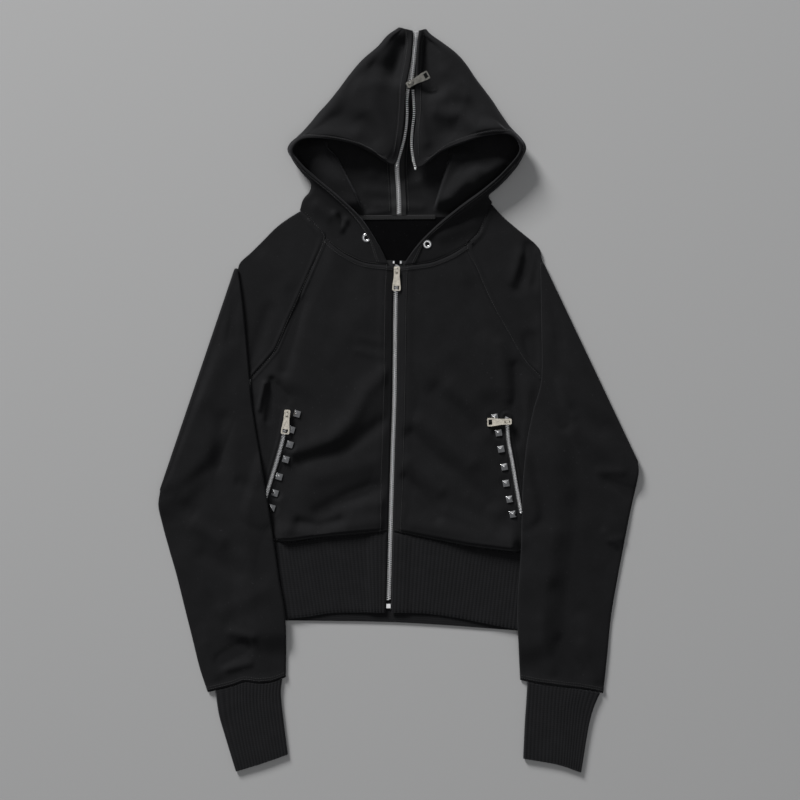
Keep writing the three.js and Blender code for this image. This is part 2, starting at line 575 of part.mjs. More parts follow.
function sleeveRings(side) {
  const neck = neckHalf[side];
  const [shoulder, raglanBack] = [SHOULDER[side], RAGLAN_BACK[side]];
  const foldIn = shiftedFold(side, -FOLD_RADIUS);
  const frontStart = [neck[0], neck[1], ...RAGLAN_FRONT[side]];
  const midNeck = neck[0].map((value, k) => (value + raglanBack[0][k]) / 2);
  const backStart = [neck[0], midNeck, ...raglanBack];
  const upperEdges = {
    near: [...shoulder.slice(0, -1), foldIn[0]],
    far: [RAGLAN_FRONT[side].at(-1), foldIn[1]],
  };
  const upperFront = { start: frontStart, end: foldIn, ...upperEdges };
  const upperBack = { start: backStart, end: foldIn, ...upperEdges };
  const lower = {
    start: foldIn,
    end: SLEEVE_SHARES.map((t) => along(CUFF_SEAM[side], t)),
    near: [foldIn[0], ...SLEEVE_INNER[side].slice(1)],
    far: [foldIn[1], ...SLEEVE_OUTER[side].slice(1)],
  };
  const seamShare = (patch) => {
    const [a, b] = [onPatch(patch, 0, 0.6), onPatch(patch, 0.1, 0.6)];
    return (0.1 * 1.4 * SEAM_BACK) / Math.hypot(b[0] - a[0], b[1] - a[1]);
  };
  const rings = [];
  for (const s of [seamShare(upperFront), 0.18, 0.36, 0.54, 0.72, 0.88, 1]) {
    rings.push(ringAt({
      front: (t) => onPatch(upperFront, s, t),
      back: (t) => onPatch(upperBack, s, t),
      heights: (x, y) => ({
        frontOuter: frontTop(x, y), frontInner: frontUnder(x, y), backInner: FLEECE, backOuter: 0,
      }),
    }));
  }
  rings.push(...WRAP_TURNS.map((turn) => wrapRing(side, turn)));
  const lowerShares = [0, 0.03, ...evenly(16).slice(1)];
  lowerShares[lowerShares.length - 1] = 0.9995;
  for (const s of lowerShares) {
    const settled = smooth(s / 0.12);
    rings.push(ringAt({
      front: (t) => onPatch(lower, s, t),
      back: (t) => onPatch(lower, s, t),
      heights: (x, y, t) => {
        const under = foldedUnder(side, x, y);
        const gap = THREE.MathUtils.lerp(LAY, sleeveLoft(x, y, t), settled);
        return {
          frontOuter: under, frontInner: under + FLEECE, backInner: under + FLEECE + gap,
          backOuter: under + 2 * FLEECE + gap,
        };
      },
    }));
  }
  return rings;
}

for (const side of SIDES) {
  const rings = sleeveRings(side);
  const tube = wall(rings.map((ring) => ring.outer), rings.map((ring) => ring.inner), true);
  addPiece(`sleeve_${side}`, tube, fleece);
}

// Cuffs: ribbed tubes lying flat, ribs raised on the side that shows
for (const side of SIDES) {
  const seam = SLEEVE_SHARES.map((t) => along(CUFF_SEAM[side], t));
  const [from, to] = side === 'right' ? [0.05, 0.94] : [0.09, 0.97];
  const start = evenly(24).map((t) => {
    const place = THREE.MathUtils.lerp(from, to, t);
    const i = Math.min(SLEEVE_SHARES.findIndex((share) => share >= place), SLEEVE_SHARES.length - 1);
    const local = (place - SLEEVE_SHARES[i - 1]) / (SLEEVE_SHARES[i] - SLEEVE_SHARES[i - 1]);
    return between(seam[i - 1], seam[i], local);
  });
  const patch = {
    start,
    end: CUFF_END[side],
    near: [start[0], ...CUFF_INNER[side]],
    far: [start.at(-1), ...CUFF_OUTER[side]],
  };
  const width = Math.hypot(start.at(-1)[0] - start[0][0], start.at(-1)[1] - start[0][1]);
  const ribs = 2 * Math.round(width / RIB_PITCH);
  const topShares = evenly(ribs);
  const lowShares = evenly(6).reverse();
  const rings = [0.005, 0.34, 0.67, 1].map((s) => {
    const place = (t, drawIn, z) => {
      const share = THREE.MathUtils.clamp(t, drawIn / width, 1 - drawIn / width);
      return vector(...onPatch(patch, s, share), z);
    };
    const top = 2 * RIB + CUFF_LOFT;
    const { outer, inner, innerTip } = EDGE_ROUND;
    return {
      outer: [place(0, 0, top / 2), ...topShares.map((t, i) => place(t, outer, top + (i % 2) * RIB_RISE)),
        place(1, 0, top / 2), ...lowShares.map((t) => place(t, outer, 0))],
      inner: [place(0, innerTip, top / 2), ...topShares.map((t) => place(t, inner, top - RIB)),
        place(1, innerTip, top / 2), ...lowShares.map((t) => place(t, inner, RIB))],
    };
  });
  addPiece(`cuff_${side}`, wall(rings.map((ring) => ring.outer), rings.map((ring) => ring.inner), true), rib);
}

// Hem band: one ribbed strip from zip to zip, round both sides and under the back
function hemFrontUnder(x, y) {
  const lift = ZIP_LIFT * smooth((ZIP_LIFT_HALF + 20 - Math.abs(x - zipX(y))) / 20);
  return RIB + LAY + Math.max(HEM_BAND_LIFT, lift);
}

function hemPatch(side) {
  const way = side === 'right' ? -1 : 1;
  const inEdge = (y) => [zipX(y) + way * EDGE_TO_ZIP, y];
  const start = [...HEM_SEAM[side].slice(0, -1), inEdge(HEM_SEAM_AT_ZIP)];
  const end = [...HEM_BOTTOM[side].slice(0, -1), inEdge(HEM_BOTTOM_AT_ZIP)];
  return { start, end, near: [start[0], end[0]], far: [start.at(-1), end.at(-1)] };
}

function hemRow(s) {
  const row = { outer: [], inner: [] };
  const [right, left] = [hemPatch('right'), hemPatch('left')];
  const frontRun = (patch, towardsSide) => {
    const length = Math.abs(patch.start[0][0] - patch.start.at(-1)[0]);
    const shares = evenly(2 * Math.round(length / RIB_PITCH));
    const run = towardsSide ? shares.slice().reverse() : shares;
    run.forEach((t, i) => {
      const [xo, yo] = onPatch(patch, s, Math.max(t, EDGE_ROUND.outer / length));
      const [xi, yi] = onPatch(patch, s, Math.max(t, EDGE_ROUND.inner / length));
      row.outer.push(vector(xo, yo, hemFrontUnder(xo, yo) + RIB + (i % 2) * RIB_RISE));
      row.inner.push(vector(xi, yi, hemFrontUnder(xi, yi)));
    });
  };
  const [from, to] = [onPatch(right, s, 0), onPatch(left, s, 0)];
  const width = Math.hypot(to[0] - from[0], to[1] - from[1]);
  const tip = (patch) => {
    const [xo, yo] = onPatch(patch, s, 0);
    const [xi, yi] = onPatch(patch, s, (2 * EDGE_ROUND.innerTip) / width);
    const middle = (hemFrontUnder(xo, yo) + RIB) / 2;
    row.outer.push(vector(xo, yo, middle));
    row.inner.push(vector(xi, yi, middle));
  };
  frontRun(right, true);
  tip(right);
  const underBack = [from, [0, THREE.MathUtils.lerp(HEM_SEAM_AT_BACK, HEM_BOTTOM_AT_BACK, s)], to];
  for (const t of evenly(8)) {
    const inwards = (drawIn) => {
      const least = drawIn / width;
      return along(underBack, THREE.MathUtils.clamp(t, least, 1 - least));
    };
    row.outer.push(vector(...inwards(EDGE_ROUND.outer), 0));
    row.inner.push(vector(...inwards(EDGE_ROUND.inner), RIB));
  }
  tip(left);
  frontRun(left, false);
  return row;
}
const hemRows = [0.004, 0.5, 1].map(hemRow);
addPiece('hem_band', wall(hemRows.map((row) => row.outer), hemRows.map((row) => row.inner)), rib);

// Hood halves
function hoodRow(side, i) {
  const row = HOOD_ROWS[side][i];
  const way = side === 'right' ? -1 : 1;
  const low = FLEECE / 2;
  const back = [row.back[0] + way * EDGE_TO_ZIP * (i === 0 ? 0.9 : 1), row.back[1]];
  const reach = row.foldZ - low;
  const inset = Math.min(reach, 9);
  const inwards = (target) => {
    const length = Math.hypot(target[0] - row.fold[0], target[1] - row.fold[1]);
    return between(row.fold, target, Math.min(0.45, (0.8 * inset) / length));
  };
  const topZ = row.foldZ + reach * 0.85;
  const points = [
    [...back, low], [...between(back, row.valley, 0.35), low], [...between(back, row.valley, 0.75), low],
    [...row.valley, low],
    [...between(row.valley, row.fold, 0.18), low + row.wall * 0.6],
    [...between(row.valley, row.fold, 0.45), low + row.wall],
    [...between(row.valley, row.fold, 0.72), low + row.wall * 0.55],
    [...inwards(row.valley), row.foldZ - reach * 0.75],
    [...row.fold, row.foldZ],
    [...inwards(row.edge), topZ],
  ];
  const neck = neckHalf[side];
  HOOD_TOP_SHARES.forEach((share, k) => {
    const start = inwards(row.edge);
    const flat = i === 0 ? neck[k + 1] : between(start, row.edge, share);
    const arch = Math.sin(Math.PI * share) * (i > 6 ? 1.5 : 0.8) * Math.min(1, i / 3);
    points.push([...flat, THREE.MathUtils.lerp(topZ, row.edgeZ, share) + arch]);
  });
  return points.map((p) => vector(...p));
}

function hoodSurface(side) {
  const rows = HOOD_ROWS[side].map((_, i) => hoodRow(side, i));
  // the neck edge stands back from the neck seam, towards the next row
  rows[0] = rows[0].map((p, j) => {
    const onward = rows[1][j].clone().sub(p).setZ(0).normalize();
    return p.clone().addScaledVector(onward, SEAM_BACK);
  });
  return rows;
}

function surfaceNormal(rows, i, j) {
  const clampRow = (k) => Math.min(Math.max(k, 0), rows.length - 1);
  const clampColumn = (k) => Math.min(Math.max(k, 0), rows[0].length - 1);
  const up = rows[clampRow(i + 1)][j].clone().sub(rows[clampRow(i - 1)][j]);
  const across = rows[i][clampColumn(j + 1)].clone().sub(rows[i][clampColumn(j - 1)]);
  return across.cross(up).normalize();
}

const hoodShells = {};
for (const side of SIDES) {
  const rows = hoodSurface(side);
  const way = side === 'right' ? 1 : -1;
  const columns = rows[0].length;
  const offset = (sign) => rows.map((row, i) => row.map((p, j) => {
    const hemmed = j >= columns - 2 && i > 0 && i <= HOOD_ZIP_FIRST_TOP_ROW;
    const half = (hemmed ? HOOD_HEM : FLEECE) / 2;
    return p.clone().addScaledVector(surfaceNormal(rows, i, j), sign * way * half);
  }));
  const shell = { rows, way, outer: offset(1), inner: offset(-1) };
  for (const grid of [shell.outer, shell.inner]) {
    for (const p of grid.flat()) p.z = Math.max(p.z, 0);
  }
  hoodShells[side] = shell;
}

// The spot on a hood half's top layer above a plan point, and the cloth's normal there
function onHood(side, [x, y]) {
  const { rows, way } = hoodShells[side];
  let best = { distance: Infinity };
  for (let i = 0; i < rows.length - 1; i++) {
    for (let j = 9; j < rows[0].length - 1; j++) {
      for (const a of evenly(12)) {
        for (const b of evenly(12)) {
          const left = rows[i][j].clone().lerp(rows[i + 1][j], a);
          const right = rows[i][j + 1].clone().lerp(rows[i + 1][j + 1], a);
          const spot = left.lerp(right, b);
          const distance = Math.hypot(spot.x - x, spot.y - y);
          if (distance < best.distance) {
            const across = rows[i][j + 1].clone().sub(rows[i][j]);
            const up = rows[i + 1][j].clone().sub(rows[i][j]);
            best = { distance, spot, normal: across.cross(up).normalize() };
          }
        }
      }
    }
  }
  return { spot: best.spot, normal: best.normal.z > 0 ? best.normal : best.normal.negate() };
}

function solidFrom(geometry) {
  const bare = geometry.clone();
  bare.deleteAttribute('normal');
  bare.deleteAttribute('uv');
  const merged = mergeVertices(bare, 1e-4);
  return new wasm.Manifold(new wasm.Mesh({
    numProp: 3,
    vertProperties: new Float32Array(merged.attributes.position.array),
    triVerts: new Uint32Array(merged.index.array),
  }));
}

function geometryFrom(solid) {
  const mesh = solid.getMesh();
  const geometry = new THREE.BufferGeometry();
  geometry.setAttribute('position', new THREE.Float32BufferAttribute(mesh.vertProperties, 3));
  geometry.setIndex(Array.from(mesh.triVerts));
  return geometry;
}

function turnedTo(geometry, spot, normal) {
  const turn = new THREE.Quaternion().setFromUnitVectors(vector(0, 0, 1), normal);
  return geometry.applyMatrix4(new THREE.Matrix4().compose(spot, turn, vector(1, 1, 1)));
}

// Hood halves with the eyelet holes cut through, and the eyelets riveted in them
for (const side of SIDES) {
  const { spot, normal } = onHood(side, EYELETS[side]);
  const drill = EYELET_BARREL + PIECE_GAP;
  const hole = new THREE.CylinderGeometry(drill, drill, 8, 16).rotateX(Math.PI / 2);
  const shell = solidFrom(wall(hoodShells[side].outer, hoodShells[side].inner));
  const cut = shell.subtract(solidFrom(turnedTo(hole, spot, normal)));
  addPiece(`hood_${side}`, geometryFrom(cut), fleece);
  const seat = HOOD_HEM / 2 + EYELET_CLEAR;
  const profile = [[EYELET_BORE, -1], [EYELET_BARREL, -1], [EYELET_BARREL, seat], [EYELET_OUTER, seat],
    [EYELET_OUTER - 0.4, seat + 0.8], [EYELET_BARREL, seat + 1.2], [EYELET_BORE, seat + 0.9],
    [EYELET_BORE, -1]];
  const ring = new THREE.LatheGeometry(profile.map((p) => new THREE.Vector2(...p)), 16).rotateX(Math.PI / 2);
  addPiece(`eyelet_${side}`, turnedTo(ring, spot, normal), nickel);
}

// Neck tape over the seam of hood and back
const neckTapePlan = [-47, -24, 0, 24, 47].map((x) => {
  const y = along(BACK_NECK, (x - BACK_NECK[0][0]) / (BACK_NECK[2][0] - BACK_NECK[0][0]))[1];
  return [[x, y - NECK_TAPE_WIDTH / 2], [x, y + NECK_TAPE_WIDTH / 2]];
});
addPiece('neck_tape', panel(neckTapePlan, () => FLEECE + PIECE_GAP, TAPE), tapeCloth);

// Front zip: two tapes under the front edges, the closed chain between them
const TAPE_Z = RIB + PIECE_GAP + CHAIN_HEIGHT / 2;
const frontZipPath = ZIP_LINE.map(([x, y]) => [x, y, TAPE_Z]);
for (const [side, way] of [['right', -1], ['left', 1]]) {
  const inner = CHAIN_WIDTH / 2 + PIECE_GAP;
  const width = TAPE_REACH - inner;
  addPiece(`front_zip_tape_${side}`, ribbon(frontZipPath, width, TAPE, way * (inner + width / 2)), tapeCloth);
}
const chainPath = [...frontZipPath.slice(0, -1), [-14.1, -274, TAPE_Z]];
chainPath[0] = [-2.6, 184, TAPE_Z];
addPiece('front_zip_chain', ribbon(chainPath, CHAIN_WIDTH, CHAIN_HEIGHT), nickel);

function block(width, length, height) {
  return new THREE.BoxGeometry(width, length, height);
}
const STOP = { width: 2.4, length: 3.6, height: 2, x: -2.4, y: 185.6, apart: 4.8 };
const stopZ = TAPE_Z + TAPE / 2 + PIECE_GAP + STOP.height / 2;
for (const [side, way] of [['right', -1], ['left', 1]]) {
  const stop = addPiece(`front_zip_stop_${side}`, block(STOP.width, STOP.length, STOP.height), nickel);
  stop.position.set(STOP.x + way * STOP.apart, STOP.y, stopZ);
}
const END_BOX = { width: 5.8, length: 6, x: -14.25, y: -277.6 };
const endBox = addPiece('front_zip_box', block(END_BOX.width, END_BOX.length, CHAIN_HEIGHT), nickel);
endBox.position.set(END_BOX.x, END_BOX.y, TAPE_Z);

// Hood zip: tapes on the inside of the halves, closed chain over the crown, two open sides of teeth
const HOOD_TAPE_IN = HOOD_HEM / 2 + PIECE_GAP + TAPE / 2;
for (const side of SIDES) {
  const { rows, way } = hoodShells[side];
  const stations = [];
  const station = (i, edge, next) => {
    const run = next.clone().sub(edge).normalize();
    const column = edge === rows[i][0] ? 0 : rows[0].length - 1;
    const normal = surfaceNormal(rows, i, column).multiplyScalar(-way);
    stations.push([-0.9, 3.5, 7].map((reach) => [-1, 1].map((face) =>
      edge.clone().addScaledVector(run, reach).addScaledVector(normal, HOOD_TAPE_IN + (face * TAPE) / 2))));
  };
  for (let i = 1; i < rows.length - 1; i++) station(i, rows[i][0], rows[i][1]);
  for (let i = rows.length - 2; i >= HOOD_ZIP_FIRST_TOP_ROW; i--) station(i, rows[i].at(-1), rows[i].at(-2));
  const faces = [1, 0].map((face) => stations.map((points) => points.map((pair) => pair[face])));
  addPiece(`hood_zip_tape_${side}`, wall(faces[0], faces[1]), tapeCloth);
}
const hoodBottomZ = FLEECE / 2 + HOOD_TAPE_IN;
const hoodChainBottom = HOOD_ROWS.right.slice(1, -1).map(({ back }) => [back[0], back[1], hoodBottomZ]);
const hoodChainTop = HOOD_ZIP_TOP.slice(1).map(([x, y, z]) => [x, y, z - HOOD_TAPE_IN]);
const crown = [[23.2, 497.5, hoodBottomZ + 2], [23, 497.5, HOOD_ZIP_TOP[0][2] - HOOD_TAPE_IN - 2]];
hoodChainBottom[0] = [0, 252, hoodBottomZ];
const hoodChain = ribbon([...hoodChainBottom, ...crown, ...hoodChainTop], CHAIN_WIDTH, CHAIN_HEIGHT);
addPiece('hood_zip_chain', hoodChain, nickel);
for (const side of SIDES) {
  const path = HOOD_ZIP_OPEN[side].map(([x, y, z]) => [x, y, z - HOOD_TAPE_IN]);
  addPiece(`hood_zip_teeth_${side}`, ribbon(path, HOOD_TEETH_WIDTH, CHAIN_HEIGHT), nickel);
}

// Pocket zips: tape on the panel, chain on the tape
for (const side of SIDES) {
  const route = evenly(12).map((t) => along(POCKET_ZIP[side], t));
  const seat = (x, y) => {
    const spots = [-POCKET_TAPE_HALF, 0, POCKET_TAPE_HALF].map((dx) => frontTop(x + dx, y));
    return Math.max(...spots) + ON_CLOTH;
  };
  const tapePath = route.map(([x, y]) => [x, y, seat(x, y) + TAPE / 2]);
  const chainRise = TAPE + PIECE_GAP + POCKET_CHAIN_HEIGHT / 2;
  const pocketChain = ribbon(route.map(([x, y]) => [x, y, seat(x, y) + chainRise]), POCKET_CHAIN_WIDTH,
    POCKET_CHAIN_HEIGHT);
  addPiece(`pocket_zip_tape_${side}`, ribbon(tapePath, 2 * POCKET_TAPE_HALF, TAPE), tapeCloth);
  addPiece(`pocket_zip_chain_${side}`, pocketChain, nickel);
}

// Studs: square pyramids along each pocket's front edge
for (const side of SIDES) {
  STUDS[side].forEach(([x, y], i) => {
    const line = POCKET_ZIP[side];
    const turn = Math.atan2(line[4][1] - line[1][1], line[4][0] - line[1][0]);
    const radius = STUD_SIDE / Math.SQRT2;
    const profile = [[0, 0], [radius, 0], [radius, STUD_RIM], [0, STUD_HEIGHT]];
    const shape = new THREE.LatheGeometry(profile.map((p) => new THREE.Vector2(...p)), 4, Math.PI / 4);
    const stud = addPiece(`stud_${side}_${i + 1}`, shape.rotateX(Math.PI / 2), nickel);
    const reach = STUD_SIDE / 2;
    const spots = [[0, 0], [-reach, -reach], [reach, -reach], [-reach, reach], [reach, reach]];
    const seat = Math.max(...spots.map(([dx, dy]) => frontTop(x + dx, y + dy)));
    stud.position.set(x, y, seat + ON_CLOTH);
    stud.rotation.z = turn;
  });
}

// Slider: plate with a keel down to the chain and an arch on top that the pull hangs on
function sliderGeometry(keel) {
  const plate = new THREE.Shape();
  const [half, end] = [SLIDER_LENGTH / 2, SLIDER_WIDTH / 2];
  plate.moveTo(-end + 1, half);
  plate.lineTo(end - 1, half);
  plate.lineTo(end, half - 2);
  plate.lineTo(end - 1.2, -half + 1);
  plate.lineTo(end - 2.2, -half);
  plate.lineTo(-end + 2.2, -half);
  plate.lineTo(-end + 1.2, -half + 1);
  plate.lineTo(-end, half - 2);
  const top = new THREE.ExtrudeGeometry(plate, { depth: SLIDER_PLATE, bevelEnabled: false });
  const arch = new THREE.Shape();
  arch.moveTo(-ARCH_HALF, -0.5);
  arch.lineTo(-ARCH_HALF, 2);
  arch.lineTo(-ARCH_HALF + 1.2, ARCH_HEIGHT);
  arch.lineTo(ARCH_HALF - 1.2, ARCH_HEIGHT);
  arch.lineTo(ARCH_HALF, 2);
  arch.lineTo(ARCH_HALF, -0.5);
  arch.lineTo(ARCH_HALF - ARCH_WALL, -0.5);
  arch.lineTo(ARCH_HALF - ARCH_WALL, 1.7);
  arch.lineTo(ARCH_HALF - ARCH_WALL - 0.8, ARCH_HEIGHT - ARCH_WALL);
  arch.lineTo(-ARCH_HALF + ARCH_WALL + 0.8, ARCH_HEIGHT - ARCH_WALL);
  arch.lineTo(-ARCH_HALF + ARCH_WALL, 1.7);
  arch.lineTo(-ARCH_HALF + ARCH_WALL, -0.5);
  const bow = new THREE.ExtrudeGeometry(arch, { depth: ARCH_WIDTH, bevelEnabled: false });
  // the arch's profile stands in the plane along the zip
  bow.translate(0, 0, -ARCH_WIDTH / 2).rotateX(Math.PI / 2).rotateZ(Math.PI / 2);
  bow.translate(0, 0, SLIDER_PLATE);
  const foot = block(3, SLIDER_LENGTH - 4, keel + 0.5).translate(0, 0, 0.5 - (keel + 0.5) / 2);
  return geometryFrom(solidFrom(top).add(solidFrom(bow)).add(solidFrom(foot)));
}

// Pull tab: flared plate, a hole for the arch beyond its pivot bar, a window at its foot
function pullGeometry() {
  const bar = PULL_THICK / 2;
  const tab = new THREE.Shape();
  tab.moveTo(-PULL_TOP, bar);
  tab.lineTo(-PULL_TOP, -8);
  tab.lineTo(-PULL_FOOT, -PULL_LENGTH + 6);
  tab.lineTo(-PULL_FOOT, -PULL_LENGTH + 1);
  tab.lineTo(-PULL_FOOT + 1, -PULL_LENGTH);
  tab.lineTo(PULL_FOOT - 1, -PULL_LENGTH);
  tab.lineTo(PULL_FOOT, -PULL_LENGTH + 1);
  tab.lineTo(PULL_FOOT, -PULL_LENGTH + 6);
  tab.lineTo(PULL_TOP, -8);
  tab.lineTo(PULL_TOP, bar);
  const rectangle = (half, near, away) => {
    const hole = new THREE.Path();
    hole.moveTo(-half, near);
    hole.lineTo(half, near);
    hole.lineTo(half, away);
    hole.lineTo(-half, away);
    return hole;
  };
  tab.holes.push(rectangle(ARCH_WIDTH / 2 + 0.7, -bar, -ARCH_HALF - 1.1));
  tab.holes.push(rectangle(PULL_FOOT - 2.2, -PULL_LENGTH + 6.6, -PULL_LENGTH + 1.8));
  const plate = new THREE.ExtrudeGeometry(tab, { depth: PULL_THICK, bevelEnabled: false });
  return plate.translate(0, 0, -PULL_THICK / 2);
}

// Each slider: its place, and the way it and its pull are turned, 0 with the pull towards the hem
const deg = THREE.MathUtils.degToRad;
const pocketSlide = (side) => {
  const clothTop = frontTop(...along(POCKET_ZIP[side], 0.05));
  return clothTop + ON_CLOTH + TAPE + PIECE_GAP + POCKET_CHAIN_HEIGHT + 3 * PIECE_GAP;
};
const SLIDERS = [
  { name: 'front_zip', x: -2.9, y: 174, z: 6.9, turn: deg(-1.5), keel: 2.3 },
  { name: 'hood_zip', x: 15.9, y: 424, z: 17.4, turn: deg(118), keel: 1.6 },
  { name: 'pocket_zip_right', x: -150.6, y: -19, z: pocketSlide('right'), turn: deg(-6), keel: 0.3 },
  { name: 'pocket_zip_left', x: 145.6, y: -29, z: pocketSlide('left'), turn: deg(-88), keel: 0.3 },
];
for (const { name, x, y, z, turn, keel } of SLIDERS) {
  const slider = addPiece(`${name}_slider`, sliderGeometry(keel), nickel);
  slider.position.set(x, y, z);
  // the arch stands across the pull's pivot bar, so the slider turns with the pull
  slider.rotation.z = turn;
  const tab = addPiece(`${name}_pull`, pullGeometry(), nickel);
  tab.position.set(x, y, z + SLIDER_PLATE + PIVOT_HEIGHT);
  tab.rotation.set(PULL_DROOP, 0, turn, 'ZYX');
}

// Set down with the middle of the footprint at the origin
garment.updateMatrixWorld(true);
const bounds = new THREE.Box3().setFromObject(garment, true);
const centre = bounds.getCenter(new THREE.Vector3());
garment.position.set(-centre.x, -centre.y, -bounds.min.z);
const hoodie = new THREE.Group();
hoodie.add(garment);

export default hoodie;
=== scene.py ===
"""Zip up hoodie in black fleece, laid flat on its back with its lower sleeves folded forward."""
import math

import bpy
import numpy as np
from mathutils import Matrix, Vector


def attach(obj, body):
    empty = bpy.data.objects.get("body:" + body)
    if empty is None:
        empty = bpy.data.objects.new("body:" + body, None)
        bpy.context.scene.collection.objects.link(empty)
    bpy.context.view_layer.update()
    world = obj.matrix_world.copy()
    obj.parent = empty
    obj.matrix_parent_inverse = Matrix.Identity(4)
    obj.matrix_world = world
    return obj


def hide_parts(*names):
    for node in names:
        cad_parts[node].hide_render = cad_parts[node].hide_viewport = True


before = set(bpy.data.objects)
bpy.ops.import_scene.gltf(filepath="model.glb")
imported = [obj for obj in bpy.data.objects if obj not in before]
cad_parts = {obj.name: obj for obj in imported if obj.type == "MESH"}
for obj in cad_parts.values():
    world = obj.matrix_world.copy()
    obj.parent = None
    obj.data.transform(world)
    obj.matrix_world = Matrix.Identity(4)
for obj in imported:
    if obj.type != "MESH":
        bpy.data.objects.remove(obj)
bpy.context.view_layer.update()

# Back
# One raglan panel of brushed-back cotton fleece, cut from the neck seam to the hem seam. It lies face
# down on the surface, and the fronts, sleeves and hood are sewn to its edges and lie on it.
# Pattern places are in millimetres, and SET_DOWN is where the pattern's own origin lies in the frame.
MM = 0.001
SET_DOWN = np.array([0.65, 0.27, 0.0])
FLEECE = 1.8
LAY = 0.4
BACK_NECK = [(-82.4, 245.7), (0, 246.4), (79.7, 247.1)]
RAGLAN_BACK = {
    "right": [(-82.4, 245.7), (-106.7, 191.7), (-133.7, 135), (-160.7, 81), (-180.9, 51.3), (-197.8, 31.2)],
    "left": [(79.7, 247.1), (104, 191.7), (128.2, 137.7), (152.6, 89.1), (172.8, 56.7), (190.5, 32.4)],
}
SIDE = {
    "right": [(-197.8, 31.2), (-200.5, 14), (-202, -18.9), (-202.5, -67.5), (-201.2, -121.5),
              (-193.1, -164.7), (-185, -190.4)],
    "left": [(190.5, 32.4), (192.5, 10.8), (191, -18.9), (192, -67.5), (194.4, -121.5),
             (191.7, -168.8), (185, -207.9)],
}
HEM_SEAM = {
    "right": [(-185, -190.4), (-145.8, -191.7), (-106.6, -185.6), (-63.5, -182), (-16.2, -178.2)],
    "left": [(185, -207.9), (140, -203.4), (95, -197.8), (45, -188.5), (-6.8, -177.5)],
}
SIDES = ("right", "left")


def spline(points, shares):
    """Smooth line or surface through a table, each stretch of it taking an equal share."""
    table = np.asarray(points, float)
    place = np.clip(shares, 0, 1) * (len(table) - 1)
    i = np.minimum(place.astype(int), len(table) - 2)
    t = (place - i).reshape((-1,) + (1,) * (table.ndim - 1))
    table = np.concatenate([[2 * table[0] - table[1]], table, [2 * table[-1] - table[-2]]])
    a, b, c, d = (table[i + k] for k in range(4))
    return 0.5 * (2 * b + (c - a) * t + (2 * a - 5 * b + 4 * c - d) * t**2 + (3 * b - a - 3 * c + d) * t**3)


def patch(start, end, near, far, rows, columns):
    """Plan of a cut panel between four seams: start and end run across it, near and far along it."""
    s, t = rows[:, None, None], columns[None, :, None]
    across = (1 - s) * spline(start, columns)[None] + s * spline(end, columns)[None]
    down = (1 - t) * spline(near, rows)[:, None] + t * spline(far, rows)[:, None]
    first = (1 - t) * np.array(start[0]) + t * np.array(start[-1])
    last = (1 - t) * np.array(end[0]) + t * np.array(end[-1])
    return across + down - (1 - s) * first - s * last


def off_line(plan, line):
    """Distance from each plan point to a run of straight stretches."""
    nearest = np.full(plan.shape[:-1], np.inf)
    for a, b in zip(np.array(line, float)[:-1], np.array(line, float)[1:]):
        run = b - a
        share = np.clip(((plan - a) @ run) / (run @ run), 0, 1)[..., None]
        nearest = np.minimum(nearest, np.linalg.norm(plan - a - share * run, axis=-1))
    return nearest


def swell(distance, width):
    """Soft hump: 1 on the line, falling away over the width."""
    return np.exp(-((distance / width) ** 2))


def step(value):
    """Smooth step from 0 to 1."""
    t = np.clip(value, 0, 1)
    return t * t * (3 - 2 * t)


def kept_above(height, floor):
    """The height, eased off before it would drop below a floor."""
    return floor + 0.5 * np.logaddexp(0, (height - floor) / 0.5)


def with_height(plan, height):
    return np.concatenate([plan, np.broadcast_to(height, plan.shape[:-1])[..., None]], axis=-1)


def arc_lengths(points, axis):
    """Metres of cloth from the first point, along one axis of a grid."""
    steps = np.linalg.norm(np.diff(points, axis=axis), axis=-1) * MM
    return np.insert(np.cumsum(steps, axis=axis), 0, 0, axis=axis)


